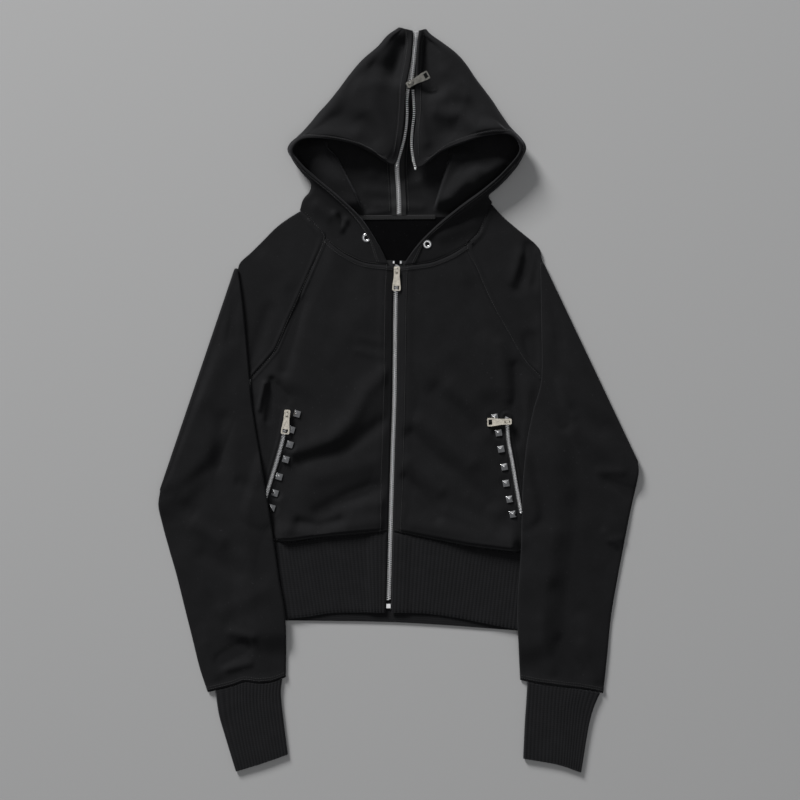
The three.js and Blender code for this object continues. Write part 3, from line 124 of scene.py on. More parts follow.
def wall_object(name, outer, inner, closed=False):
    """Closed wall of cloth between two grids of points, rimmed all round, or a tube if it is closed."""
    rows, columns = outer.shape[:2]
    o = np.arange(rows * columns).reshape(rows, columns)
    n = o + rows * columns
    ring = (lambda grid: np.concatenate([grid, grid[:, :1]], axis=1)) if closed else (lambda grid: grid)
    o, n = ring(o), ring(n)
    quads = [
        np.stack([o[:-1, :-1], o[:-1, 1:], o[1:, 1:], o[1:, :-1]], axis=-1),
        np.stack([n[:-1, :-1], n[1:, :-1], n[1:, 1:], n[:-1, 1:]], axis=-1),
        np.stack([o[0, :-1], n[0, :-1], n[0, 1:], o[0, 1:]], axis=-1),
        np.stack([o[-1, :-1], o[-1, 1:], n[-1, 1:], n[-1, :-1]], axis=-1),
    ]
    if not closed:
        quads.append(np.stack([o[:-1, 0], o[1:, 0], n[1:, 0], n[:-1, 0]], axis=-1))
        quads.append(np.stack([o[:-1, -1], n[:-1, -1], n[1:, -1], o[1:, -1]], axis=-1))
    faces = np.concatenate([q.reshape(-1, 4) for q in quads])
    points = (np.concatenate([outer.reshape(-1, 3), inner.reshape(-1, 3)]) + SET_DOWN) * MM
    a, b, c, d = (points[faces[:, k]] for k in range(4))
    volume = np.einsum("ij,ij->", a, np.cross(b, c) + np.cross(c, d))
    mesh = bpy.data.meshes.new(name)
    mesh.from_pydata(points.tolist(), [], (faces if volume > 0 else faces[:, ::-1]).tolist())
    grain = np.stack([arc_lengths(outer, 1), arc_lengths(outer, 0)], axis=-1).reshape(-1, 2)
    corners = np.empty(len(mesh.loops), np.int32)
    mesh.loops.foreach_get("vertex_index", corners)
    mesh.uv_layers.new(name="grain").data.foreach_set("uv", np.tile(grain, (2, 1))[corners].ravel())
    mesh.shade_smooth()
    mesh.set_sharp_from_angle(angle=math.radians(62))
    obj = bpy.data.objects.new(name, mesh)
    bpy.context.scene.collection.objects.link(obj)
    return obj


class Shade:
    """A node's output, used in plain sums: 1 - mask adds its own Math node."""

    def __init__(self, tree, socket):
        self.tree = tree
        self.socket = socket

    def sum(self, operation, a, b):
        node = self.tree.nodes.new("ShaderNodeMath")
        node.operation = operation
        for slot, value in zip(node.inputs, (a, b)):
            if isinstance(value, Shade):
                self.tree.links.new(value.socket, slot)
            else:
                slot.default_value = value
        return Shade(self.tree, node.outputs[0])

    def __add__(self, other):
        return self.sum("ADD", self, other)

    def __mul__(self, other):
        return self.sum("MULTIPLY", self, other)

    def __sub__(self, other):
        return self.sum("SUBTRACT", self, other)

    def __rsub__(self, other):
        return self.sum("SUBTRACT", other, self)

    def __pow__(self, other):
        return self.sum("POWER", self, other)

    __radd__ = __add__
    __rmul__ = __mul__


class Finish:
    """A material, built on its Principled shader, whose constants are set on the shader itself."""

    def __init__(self, name, **constants):
        self.material = bpy.data.materials.new(name)
        self.material.use_nodes = True
        self.tree = self.material.node_tree
        self.shader = self.tree.nodes["Principled BSDF"]
        for socket, value in constants.items():
            self.shader.inputs[socket.replace("_", " ")].default_value = value

    def node(self, kind, settings=(), output=0, **inputs):
        node = self.tree.nodes.new("ShaderNode" + kind)
        for setting, value in dict(settings).items():
            if setting == "stops":
                for stop, (position, colour) in zip(node.color_ramp.elements, value):
                    stop.position = position
                    stop.color = (*colour, 1)
            else:
                setattr(node, setting, value)
        for socket, value in inputs.items():
            slot = node.inputs[int(socket[1:]) if socket[1:].isdigit() else socket.replace("_", " ")]
            if isinstance(value, Shade):
                self.tree.links.new(value.socket, slot)
            else:
                slot.default_value = value
        return Shade(self.tree, node.outputs[output])

    def feed(self, **sockets):
        for socket, shade in sockets.items():
            self.tree.links.new(shade.socket, self.shader.inputs[socket.replace("_", " ")])
        return self.material


def fleece_finish(name, dark, light, lustre=0.25):
    """Matt black jersey face: fine wales along the grain, a soft mottle where it has been handled."""
    cloth = Finish(name, Roughness=0.92, Sheen_Weight=lustre / 2, Sheen_Roughness=0.4,
                   Sheen_Tint=(0.55, 0.56, 0.6, 1), Specular_IOR_Level=lustre)
    place = cloth.node("TexCoord", output=3)
    grain = cloth.node("UVMap", {"uv_map": "grain"})
    mottle = cloth.node("TexNoise", Vector=place, Scale=55, Detail=4, Roughness=0.6)
    fuzz = cloth.node("TexNoise", Vector=place, Scale=900, Detail=3, Roughness=0.7)
    wales = cloth.node("TexWave", {"bands_direction": "X"}, Vector=grain, Scale=140, Distortion=1.2,
                       Detail=1)
    lint = cloth.node("TexNoise", Vector=place, Scale=420, Detail=0)
    speck = cloth.node("ValToRGB", {"stops": [(0.8, (0, 0, 0)), (0.86, (1, 1, 1))]}, Fac=lint)
    tone = cloth.node("ValToRGB", {"stops": [(0.3, dark), (0.72, light)]},
                      Fac=mottle * 0.65 + fuzz * 0.35)
    colour = cloth.node("Mix", {"data_type": "RGBA"}, output=2, _0=speck * 0.12, _6=tone,
                        _7=(0.09, 0.09, 0.1, 1))
    nap = fuzz * 0.55 + wales * 0.3 + mottle * 0.5
    surface = cloth.node("Bump", Strength=0.35, Distance=0.0006, Height=nap)
    return cloth.feed(Base_Color=colour, Normal=surface)


FLEECE_FINISH = fleece_finish("fleece", (0.0035, 0.0035, 0.004), (0.0064, 0.0064, 0.0073))


def sew_in(obj, finish, nodes):
    """Dresses a piece of cloth and sets it in the frame in place of its solids."""
    obj.data.materials.append(finish)
    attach(obj, "garment")
    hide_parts(*nodes)
    return obj


back_plan = patch(BACK_NECK, [HEM_SEAM["right"][0], (0, -199), HEM_SEAM["left"][0]],
                  [*RAGLAN_BACK["right"], *SIDE["right"][1:]], [*RAGLAN_BACK["left"], *SIDE["left"][1:]],
                  np.linspace(0, 1, 90), np.linspace(0, 1, 60))
back = wall_object("back_panel", with_height(back_plan, 0.0), with_height(back_plan, FLEECE))
# Painted shade: the back only shows inside the neck, where shade falls between the collar edges, so its
# fleece is given far darker colours and almost no lustre to stand for that shade.
BACK_PAINTED_SHADE = fleece_finish("fleece_painted_shade", (0.0011, 0.0011, 0.0013), (0.0022, 0.0022, 0.0026), lustre=0.05)
sew_in(back, BACK_PAINTED_SHADE, ["back"])

# Fronts
# Two raglan panels of the same fleece, from the neck seam to the hem seam. Each front edge is turned
# under and topstitched to the zip's tape, and each has a slanting welt that the pocket zip lies in.
NECK = {
    "right": [(-132.3, 255.2), (-117.5, 241), (-99.9, 218.7), (-85.1, 205.2), (-67.5, 193.7),
              (-44.6, 184.5), (-13.5, 180.9)],
    "left": [(124.2, 264.6), (108, 226), (90.5, 208.5), (75, 198.3), (60, 191), (40, 184.3), (4.1, 179.6)],
}
RAGLAN_FRONT = {
    "right": [(-99.9, 218.7), (-124.2, 162), (-148.5, 108), (-166.1, 67.5), (-182.2, 48.6), (-197.8, 31.2)],
    "left": [(90.5, 208.5), (105.3, 175.5), (122.9, 135), (144.5, 95.9), (168.8, 54.7), (190.5, 32.4)],
}
ZIP_LINE = [(-2.4, 188), (-4.7, 135), (-5.5, 67.5), (-6.3, 0), (-8.4, -67.5), (-10.4, -135),
            (-11.7, -182.2), (-14.2, -281)]
POCKET_ZIP = {
    "right": [(-149.9, -18), (-156.6, -54), (-166.7, -89.1), (-176.9, -121.5), (-185, -149.9)],
    "left": [(145.1, -23), (147.2, -54), (152.6, -83.7), (158.6, -118.8), (164.4, -151.2)],
}
STUDS = {
    "right": [(-137.3, -18.5), (-144.8, -39.8), (-146.9, -59.8), (-152.4, -79.8), (-161.6, -103.1),
              (-167.1, -125.3), (-171.5, -145.3)],
    "left": [(128.9, -23.2), (134.1, -44), (137.4, -66), (141.9, -90), (144.3, -112.2), (148.9, -133.5),
             (153.4, -153.8)],
}
EDGE_TO_ZIP = 4.3
ZIP_LIFT = 2.0
ZIP_LIFT_HALF = 17
HEM_SEAM_AT_ZIP = -178
ZIP_TOPSTITCH = 10.5
SEAM_RIDGE = 3.2
# x and y of the ends of each soft ridge or trough in the fronts, its rise and its width
FOLDS = [
    (-148, -67, -86, -47, 2.2, 20), (-86, -47, -34, 6, 1.6, 20), (-143, -168, -47, -123, -1.2, 18),
    (-173, 20, -181, -27, 1.4, 9), (11, 27, 127, -117, -1.3, 18), (45, 40, 140, -60, 1.4, 20),
    (11, -93, 41, -136, -1.0, 14), (165, 195, 158, 150, 1.3, 9), (-160, -178, -30, -166, 2.2, 11),
    (20, -168, 160, -190, 2.2, 11),
]
# Finer ones that only the cloth's face shows
CREASES = [
    (-143, -70, -93, -54, -63, -27, -45, 11, -22, 34, 3.6, 11), (-134, -84, -73, -66, -20, -29, -3.8, 10),
    (-109, -105, -36, -84, 2.0, 12), (-30, -118, -66, -132, -106, -153, -4.6, 12),
    (-134, -166, -108, -170, -80, -163, -6, 8), (-80, -146, -20, -138, 1.8, 9),
    (-161, -135, -147, -170, 3, 9), (-133, 130, -142, 90, -155, 40, -4, 9), (-166, 16, -157, 2, -7, 9),
    (-181, 22, -189, -12, 4.5, 3.5), (-171, 27, -176, -27, -4, 5), (-120, 200, -128, 160, 1.4, 8),
    (-52, 84, -24, 78, 0.8, 6), (-56, 66, -22, 58, 0.9, 6), (-46, 120, -90, 60, 1.2, 15),
    (50, 12, 78, -12, 100, -38, -3.4, 13), (70, 16, 96, -8, 123, -42, 2.8, 13),
    (30, -30, 62, -54, 96, -84, 3, 12), (16, -47, 46, -76, 76, -97, 118, -140, -4.2, 11),
    (15, -84, 55, -121, 2.4, 10), (7, -105, 28, -124, 51, -158, -3.8, 8),
    (158, 44, 160, 0, 158, -54, -3.6, 9),
    (136, 74, 146, 4, 2.4, 10), (40, 130, 66, 70, 1.6, 14), (96, 150, 108, 96, -1.6, 12),
    (96, -130, 134, -150, 1.8, 10), (66, -150, 120, -172, 1.8, 9), (-150, 196, -164, 150, 1.6, 9),
    (-66, 170, -84, 120, -1.4, 14), (80, 60, 110, 20, 1.4, 15),
]
# How far each front stands up over its hem seam, beside the zip and at the side of the body
BLOUSE = {"right": (3.2, 9), "left": (3.6, 13)}
LOFT = 2.6
THINNEST = 0.9
SLEEVE_INNER = {
    "right": [(-221.4, 178.2), (-210.6, 128.2), (-202.5, 40.5), (-197.1, -14.9), (-185, -87.8),
              (-172.8, -162), (-162, -236.3), (-152.6, -297), (-152.6, -374)],
    "left": [(194.4, 186.3), (191.7, 108), (191.7, 29.7), (180.9, -13.5), (171.5, -60.8),
             (166.1, -121.5), (164, -202.5), (159.3, -283.5), (163.4, -378)],
}


def zip_x(y):
    """Where the middle of the front zip is, at each height of the body."""
    line = np.array(ZIP_LINE)[::-1]
    return np.interp(y, line[:, 1], line[:, 0])


def folded(plan, folds):
    """Height of soft ridges and troughs, each given as the points it runs through, its rise and width."""
    return sum(rise * swell(off_line(plan, np.reshape(run, (-1, 2))), width) for *run, rise, width in folds)


def unevenness(plan, height, seed):
    """Slow, shallow waves that any laid cloth keeps."""
    draw = np.random.default_rng(seed)
    waves = 0
    for length in (38, 52, 67, 85, 110, 140):
        angle, shift = draw.uniform(0, math.pi), draw.uniform(0, 2 * math.pi)
        along_wave = plan[..., 0] * math.cos(angle) + plan[..., 1] * math.sin(angle)
        waves = waves + np.sin(2 * math.pi * along_wave / length + shift) * length / 85
    return height * waves / 6


def open_to_view(side, plan, fade):
    """1 where a front or cap lies open, 0 where the folded sleeve lies on it."""
    line = np.array(SLEEVE_INNER[side])[::-1]
    beside = (plan[..., 0] - np.interp(plan[..., 1], line[:, 1], line[:, 0])) * (1 if side == "right" else -1)
    return step(beside / fade)


def front_under(plan):
    """Underside of the upper layer of the laid body."""
    x, y = plan[..., 0], plan[..., 1]
    body = 1.3 * step((172 - np.abs(x)) / 50) * step((y + 200) / 40)
    lift = ZIP_LIFT * step((ZIP_LIFT_HALF + 20 - np.abs(x - zip_x(y))) / 20) * step((240 - y) / 30)
    return FLEECE + LAY + np.maximum(np.maximum(0, body + folded(plan, FOLDS)), lift)


def front_top(plan):
    return front_under(plan) + FLEECE


def front_relief(side, plan, raglan, hem, neck, edge):
    """What shows on a front's face: seams, the turned front edge, the pocket's welts and creases."""
    at_zip = off_line(plan, edge)
    at_pocket = off_line(plan, POCKET_ZIP[side])
    at_hem = off_line(plan, hem)
    at_raglan = off_line(plan, raglan)
    at_neck = off_line(plan, neck)
    clear = 1 - swell(at_pocket, 9)
    soft = folded(plan, CREASES) + unevenness(plan, 1.1, 3 if side == "right" else 5)
    near, far = BLOUSE[side]
    soft += (near + (far - near) * step(np.abs(plan[..., 0]) / 150)) * step(at_hem / 6) * swell(at_hem, 24)
    lofty = step((off_line(plan, STUDS[side]) - 9) / 34) * step(at_hem / 30) * step(at_raglan / 24)
    soft += LOFT * lofty * step((at_pocket - 12) / 30)
    soft *= clear * open_to_view(side, plan, 14)
    seams = -0.5 * swell(at_raglan, 1.0) - 0.9 * (swell(at_neck, 1.1) + swell(at_hem, 1.3))
    seams += 0.8 * swell(at_raglan - SEAM_RIDGE, 1.7) + 0.8 * swell(at_neck - 4, 2.2)
    seams += 0.55 * swell(at_hem - 4.5, 2.6) - 0.3 * swell(at_hem - 4.2, 0.9)
    turned = 0.5 * step((ZIP_TOPSTITCH + 1 - at_zip) / 2) - 0.45 * swell(at_zip - ZIP_TOPSTITCH, 1.0)
    turned -= 0.8 * swell(at_zip, 0.7)
    welt = 1.25 * swell(at_pocket - 5.7, 1.5) - 0.3 * swell(at_pocket - 9.4, 1.2)
    relief = soft * step(at_zip / 12) + seams + turned + welt
    at_stud = np.min([np.linalg.norm(plan - stud, axis=-1) for stud in STUDS[side]], axis=0)
    return relief - (relief + 0.1) * (1 - step((at_stud - 5.8) / 6))


def stitch_tree():
    """Stitches along a line: the line is cut to the stitch's length and a short thread laid on each cut."""
    tree = bpy.data.node_groups.new("stitching", "GeometryNodeTree")
    for label, kind in (("Line", "Geometry"), ("Spacing", "Float"), ("Thread", "Float"), ("Length", "Float"),
                        ("Finish", "Material")):
        tree.interface.new_socket(label, in_out="INPUT", socket_type="NodeSocket" + kind)
    tree.interface.new_socket("Stitches", in_out="OUTPUT", socket_type="NodeSocketGeometry")
    given = tree.nodes.new("NodeGroupInput").outputs

    def node(kind, links, **settings):
        made = tree.nodes.new(kind)
        for setting, value in settings.items():
            setattr(made, setting, value)
        for slot, source in links.items():
            tree.links.new(source, made.inputs[slot])
        return made

    curve = node("GeometryNodeMeshToCurve", {"Mesh": given["Line"]}).outputs[0]
    cut = node("GeometryNodeResampleCurve", {"Curve": curve, "Length": given["Spacing"]}, mode="LENGTH")
    tangent = node("GeometryNodeInputTangent", {}).outputs[0]
    turn = node("FunctionNodeAlignRotationToVector", {"Vector": tangent}, axis="Y").outputs[0]
    bead = node("GeometryNodeMeshIcoSphere", {}).outputs[0]
    size = node("ShaderNodeCombineXYZ", {"X": given["Thread"], "Y": given["Length"], "Z": given["Thread"]})
    laid = node("GeometryNodeInstanceOnPoints",
                {"Points": cut.outputs[0], "Instance": bead, "Rotation": turn, "Scale": size.outputs[0]})
    real = node("GeometryNodeRealizeInstances", {"Geometry": laid.outputs[0]}).outputs[0]
    smooth = node("GeometryNodeSetShadeSmooth", {0: real}).outputs[0]
    dressed = node("GeometryNodeSetMaterial", {"Geometry": smooth, "Material": given["Finish"]}).outputs[0]
    node("NodeGroupOutput", {0: dressed})
    return tree


def grown(name, lines, tree, body="garment", slot=None, **sizes):
    """A plain mesh that a tree grows along one or more lines of points, in millimetres."""
    base = bpy.data.meshes.new(name + "_line")
    points, edges = [], []
    for line in lines:
        edges += [(len(points) + k, len(points) + k + 1) for k in range(len(line) - 1)]
        points += ((np.asarray(line) + SET_DOWN) * MM).tolist()
    base.from_pydata(points, edges, [])
    source = bpy.data.objects.new(name + "_line", base)
    bpy.context.scene.collection.objects.link(source)
    modifier = source.modifiers.new("grow", "NODES")
    modifier.node_group = tree
    for item in tree.interface.items_tree:
        if item.name in sizes:
            modifier[item.identifier] = sizes[item.name]
    evaluated = source.evaluated_get(bpy.context.evaluated_depsgraph_get())
    mesh = bpy.data.meshes.new_from_object(evaluated)
    bpy.data.objects.remove(source)
    piece = bpy.data.objects.new(name, mesh)
    mesh.name = name
    bpy.context.scene.collection.objects.link(piece)
    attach(piece, body)
    return piece


def thread_finish():
    """Black spun polyester thread with a slight lustre."""
    thread = Finish("thread", Roughness=0.5, Specular_IOR_Level=0.5, Sheen_Weight=0.2)
    twist = thread.node("TexWave", Vector=thread.node("TexCoord", output=3), Scale=900, Distortion=2)
    shades = {"stops": [(0, (0.005, 0.005, 0.0054)), (1, (0.014, 0.014, 0.0152))]}
    tone = thread.node("ValToRGB", shades, Fac=twist)
    return thread.feed(Base_Color=tone)


STITCHING = stitch_tree()
THREAD_FINISH = thread_finish()
STITCH = {"Spacing": 0.0031, "Thread": 0.00036, "Length": 0.0012, "Finish": THREAD_FINISH}


def inset_line(grid, edge, reach, lift=0.2, first=0, last=None):
    """The line on a grid's face that keeps a set distance from one of its edges."""
    turned = grid.swapaxes(0, 1)
    face = {"start": grid, "end": grid[::-1], "near": turned, "far": turned[::-1]}[edge][:, first:last]
    runs = arc_lengths(face, 0) / MM
    line = [[np.interp(reach, runs[:, j], face[:, j, k]) for k in range(3)] for j in range(face.shape[1])]
    return np.array(line) + (0, 0, lift)


def dense_ends(count, share=0.02):
    """Shares from 0 to 1 with extra ones close to both ends."""
    middle = np.linspace(share, 1 - share, count)
    return np.concatenate([[0, share * 0.12, share * 0.3, share * 0.6], middle,
                           [1 - share * 0.6, 1 - share * 0.3, 1 - share * 0.12, 1]])


for side in SIDES:
    way = -1 if side == "right" else 1
    neck = list(NECK[side][2:])
    (x1, y1), (x2, y2) = neck[-2:]
    corner = float(zip_x(y2)) + way * EDGE_TO_ZIP
    top = y1 + (corner - x1) * (y2 - y1) / (x2 - x1)
    edge_y = np.linspace(top, HEM_SEAM_AT_ZIP, 12)
    edge = [(float(zip_x(y)) + way * EDGE_TO_ZIP, float(y)) for y in edge_y]
    neck[-1] = edge[0]
    hem = [*HEM_SEAM[side][:-1], edge[-1]]
    plan = patch(neck, hem, [*RAGLAN_FRONT[side], *SIDE[side][1:]], edge, dense_ends(190, 0.012),
                 dense_ends(110, 0.02))
    relief = front_relief(side, plan, RAGLAN_FRONT[side], hem, neck, edge)
    height = kept_above(front_top(plan) + relief, FLEECE + LAY + THINNEST)
    face = with_height(plan, height)
    low = np.clip(front_under(plan) + relief * 0.3, FLEECE + LAY - 0.2, height - THINNEST)
    under = with_height(plan, low)
    panel = wall_object(f"front_panel_{side}", face, under)
    sew_in(panel, FLEECE_FINISH, [f"front_{side}"])
    lines = [inset_line(face, "far", ZIP_TOPSTITCH, 0.5), inset_line(face, "end", 4.2),
             inset_line(face, "start", 5.4)]
    grown(f"front_stitching_{side}", lines, STITCHING, slot="fleece", **STITCH)

# Sleeves
# One-piece raglan sleeves of the fleece, each sewn into a tube from the raglan seam to the cuff seam.
# The caps lie on the back, and below the shoulder each sleeve is folded forward over the front.
SHOULDER = {
    "right": [(-132.3, 255.2), (-149.9, 244.4), (-166.1, 232.2), (-182.2, 216), (-198.5, 199.8),
              (-213.3, 186.3), (-221.4, 178.2)],
    "left": [(124.2, 264.6), (140.4, 247.1), (159.3, 230.9), (175.5, 217.8), (184.5, 210), (191, 200),
             (194.4, 186.3)],
}
SLEEVE_FOLD = {"right": [(-221.4, 178.2), (-322.7, -121.5)], "left": [(194.4, 186.3), (322.7, -83.7)]}
SLEEVE_OUTER = {
    "right": [(-322.7, -121.5), (-324, -143.1), (-318.6, -170.1), (-310.5, -199.8), (-299.7, -237.6),
              (-287.6, -286.2), (-278.1, -324), (-268.7, -361.8), (-257.9, -394.2)],
    "left": [(322.7, -83.7), (322.7, -97.2), (318.6, -121.5), (311.9, -151.2), (302.4, -199.8),
             (294.3, -243), (286.2, -290.3), (280.8, -344.3), (275.4, -395.6)],
}
CUFF_SEAM = {
    "right": [(-152.6, -374), (-171.5, -380.7), (-189, -382.1), (-207.9, -380), (-225.5, -386.1),
              (-257.9, -394.2)],
    "left": [(163.4, -378), (185, -382.1), (206.6, -384.8), (228.2, -387.5), (248.4, -390.2),
             (275.4, -395.6)],
}
HEM_BOTTOM = {
    "right": [(-175.5, -297), (-130, -292.9), (-92, -287.3), (-52.7, -286.2), (-18.9, -286.2)],
    "left": [(174.2, -311.9), (128, -303.5), (82, -294.4), (36, -287.8), (-9.5, -286.9)],
}
LAP = 0.8
SLEEVE_LOFT = 3.2
SLEEVE_FOLDS = [
    (-225, -330, -200, -350, -1.2, 14), (-250, -60, -290, -110, 1.2, 18), (227, 135, 205, 0, -1.2, 12),
    (240, -40, 300, -80, 1.2, 18), (200, -200, 215, -320, 0.9, 20),
]
SLEEVE_CREASES = [
    (-236, -27, -244, -84, -3.4, 11), (-215, -111, -193, -121, -2.4, 6), (-316, -131, -279, -151, -2.8, 8),
    (-275, -169, -239, -189, 2.6, 10), (-262, -209, -215, -232, -2.6, 12), (-239, -351, -207, -331, -5, 8),
    (-225, -313, -198, -319, 3.2, 7), (-231, -362, -201, -354, 3, 5), (-222, 130, -226, 84, -2, 7),
    (-262, -96, -300, -124, -1.8, 9), (-236, 60, -262, 0, 1.8, 14), (-180, -200, -196, -290, -1.6, 14),
    (-190, -260, -236, -284, 1.8, 12), (-246, -370, -262, -330, 1.8, 8),
    (176, 204, 170, 176, 160, 150, -5.6, 8),
    (187, 190, 182, 156, -2.6, 6), (164, 196, 154, 160, 2, 7), (178, 80, 182, 56, -8, 9),
    (168, 132, 180, 112, -2, 9), (212, 135, 217, 81, -2.4, 8), (202, 14, 208, -16, 222, -32, -6.5, 9),
    (212, 20, 234, -20, 2.4, 7), (238, -13, 271, -40, -2.8, 12), (278, -178, 292, -195, 2.2, 5),
    (282, -190, 300, -186, 1.6, 4), (212, -255, 238, -285, -3, 13), (218, -325, 243, -365, -3.4, 10),
    (196, -60, 228, -120, 1.8, 14), (190, -300, 206, -362, 2, 9), (246, -330, 264, -376, 2, 8),
    (280, -110, 312, -126, -2, 7), (270, -96, 300, -96, 1.6, 6), (-180, 190, -150, 160, 1.8, 12),
    (-176, 120, -196, 60, -2.2, 9), (-160, 150, -150, 110, 1.4, 8), (250, 60, 280, -10, 1.8, 16),
]


def off_outline(plan, outline):
    """Distance outside a closed outline, 0 within it."""
    inside = np.zeros(plan.shape[:-1], bool)
    x, y = plan[..., 0], plan[..., 1]
    for (ax, ay), (bx, by) in zip(outline, outline[1:] + outline[:1]):
        if ay != by:
            inside ^= ((ay > y) != (by > y)) & (x < (bx - ax) * (y - ay) / (by - ay) + ax)
    return np.where(inside, 0, off_line(plan, outline + outline[:1]))


def folded_under(side, plan):
    """Height that the folded lower sleeve lies at, on the body, the hem band or the surface."""
    outline = [*SHOULDER[side], SLEEVE_FOLD[side][1], *SIDE[side], HEM_BOTTOM[side][0], HEM_BOTTOM[side][-1],
               (-6 if side == "right" else 6, 180), *NECK[side][5:0:-1]]
    cover = 1 - step((off_outline(plan, outline) - 15) / 34)
    over_hem = 2.4 * step((-160 - plan[..., 1]) / 20)
    over_zip = 3.8 * step((32 - off_line(plan, [POCKET_ZIP[side][2], POCKET_ZIP[side][4]])) / 16)
    return cover * (front_top(plan) + LAP + np.maximum(over_hem, over_zip))


def tube_ring(plan_front, plan_back, bottom, top, shares, reach):
    """One ring of a flat tube: along its front or lower wall and back along the other, ends rounded."""
    length = np.linalg.norm(plan_front[-1] - plan_front[0])
    from_end = np.minimum(shares, 1 - shares) * length
    round_off = np.sqrt(np.clip(1 - (1 - np.clip(from_end / reach, 0, 1)) ** 2, 0, 1))
    middle, half = (bottom + top) / 2, (top - bottom) / 2 * round_off
    one = with_height(plan_front, middle - half)
    other = with_height(plan_back, middle + half)
    return np.concatenate([one, other[-2:0:-1]])


TUBE_SHARES = np.concatenate([[0, 0.004, 0.012, 0.024], np.linspace(0.04, 0.96, 52),
                              [0.976, 0.988, 0.996, 1]])
FOLD_RADIUS = (2 * (2 * FLEECE + LAY) + LAP) / 2
FOLD_TURNS = np.linspace(0, math.pi, 14)[1:-1]


def fold_lines(side):
    """The fold's outer line, the way out from it, and how far in from it the cloth starts to turn."""
    ends = np.array(SLEEVE_FOLD[side])
    run = (ends[1] - ends[0]) / np.linalg.norm(ends[1] - ends[0])
    aside = (1 if side == "right" else -1) * np.array([run[1], -run[0]])
    line = ends[0] + TUBE_SHARES[:, None] * (ends[1] - ends[0])
    tuck = FOLD_RADIUS * (1 - 0.75 * step((TUBE_SHARES - 0.86) / 0.14))
    return line, aside, tuck


def wrap_rings(side):
    """Rings round the fold, where the cloth turns from the lower part of the tube to the upper."""
    line, aside, tuck = fold_lines(side)
    rings = []
    ends = np.minimum(TUBE_SHARES, 1 - TUBE_SHARES) * np.linalg.norm(line[-1] - line[0])
    flat = np.sqrt(np.clip(1 - (1 - np.clip(ends / 2.6, 0, 1)) ** 2, 0, 1))
    for turn in FOLD_TURNS:
        walls = []
        for sign in (1, -1):
            radius = (FOLD_RADIUS + LAP / 2) / 2 + sign * (FOLD_RADIUS - LAP / 2) / 2 * flat
            out = tuck * (radius / FOLD_RADIUS * math.sin(turn) - 1)
            walls.append(with_height(line + out[:, None] * aside, FOLD_RADIUS - radius * math.cos(turn)))
        rings.append(np.concatenate([walls[0], walls[1][-2:0:-1]]))
    return rings


def hollowed(outer, wall):
    """Inner face of a flat tube: each spot of a ring moves towards the one across from it."""
    opposite = np.concatenate([[0], np.arange(outer.shape[1] - 1, 0, -1)])
    across = outer[:, opposite] - outer
    depth = np.linalg.norm(across, axis=-1, keepdims=True)
    return outer + across / np.maximum(depth, 1e-6) * np.minimum(wall, depth * 0.4)


for side in SIDES:
    line, aside, tuck = fold_lines(side)
    fold_in = [tuple(spot) for spot in (line - tuck[:, None] * aside)[::3]]
    fold_in[-1] = tuple(line[-1] - tuck[-1] * aside)
    raglan_end = RAGLAN_FRONT[side][-1]
    near = [*SHOULDER[side][:-1], fold_in[0]]
    mid_neck = tuple((np.array(NECK[side][0]) + np.array(RAGLAN_BACK[side][0])) / 2)
    rows = np.concatenate([[0.0, 0.002, 0.005, 0.009], np.linspace(0.015, 1, 60)])
    ends = (fold_in, near, [raglan_end, fold_in[-1]])
    cap_front = patch([NECK[side][0], NECK[side][1], *RAGLAN_FRONT[side]], *ends, rows, TUBE_SHARES)
    cap_back = patch([NECK[side][0], mid_neck, *RAGLAN_BACK[side]], *ends, rows, TUBE_SHARES)
    at_seam = off_line(cap_front, [NECK[side][1], *RAGLAN_FRONT[side]])
    at_neck = off_line(cap_front, NECK[side][:3])
    settle = open_to_view(side, cap_front, 9) * step(at_seam / 8)
    relief = (folded(cap_front, SLEEVE_CREASES) + unevenness(cap_front, 0.9, 11)) * settle
    relief += 1.2 * swell(at_seam - SEAM_RIDGE, 2.0) - 0.5 * swell(at_seam, 1.0)
    relief += 0.8 * swell(at_neck - 4, 2.2) - 0.9 * swell(at_neck, 1.1)
    cap_top = kept_above(front_top(cap_front) + relief, 1.4)
    rings = [tube_ring(back_row, front_row, 0.0, top_row, TUBE_SHARES, 2.6)
             for back_row, front_row, top_row in zip(cap_back, cap_front, cap_top)]
    rings += wrap_rings(side)
    low_rows = np.concatenate([np.linspace(0, 0.985, 120), [0.99, 0.994, 0.997, 0.9995]])
    lower = patch(fold_in, CUFF_SEAM[side], [fold_in[0], *SLEEVE_INNER[side][1:]],
                  [fold_in[-1], *SLEEVE_OUTER[side][1:]], low_rows, TUBE_SHARES)
    under = folded_under(side, lower)
    settled = step(low_rows / 0.12)[:, None]
    puff = SLEEVE_LOFT * np.sin(math.pi * TUBE_SHARES)[None] + folded(lower, SLEEVE_FOLDS)
    puff = np.maximum(0, puff + folded(lower, SLEEVE_CREASES) + unevenness(lower, 1.5, 17))
    at_cuff = off_line(lower, CUFF_SEAM[side])
    rim = 1.6 * swell(at_cuff - 4.6, 3.0) - 0.7 * swell(at_cuff - 5.6, 0.8) - 0.9 * swell(at_cuff, 1.1)
    top = under + 2 * FLEECE + LAY + puff * settled + rim
    rings += [tube_ring(lower[i], lower[i], top[i], under[i], TUBE_SHARES, 3.2) for i in range(len(low_rows))]
    outer = np.array(rings)
    sleeve = wall_object(f"sleeve_tube_{side}", outer, hollowed(outer, 1.2), closed=True)
    sew_in(sleeve, FLEECE_FINISH, [f"sleeve_{side}"])
    shown = outer[-len(low_rows):, :len(TUBE_SHARES)]
    cap_shown = with_height(cap_front, cap_top)
    lines = [inset_line(shown, "end", 4.4, 0.2, 1, -1), inset_line(shown, "end", 7.6, 0.2, 1, -1),
             inset_line(cap_shown, "start", 2.0, 0.25, 8, -2)]
    grown(f"sleeve_stitching_{side}", lines, STITCHING, slot="fleece", **STITCH)

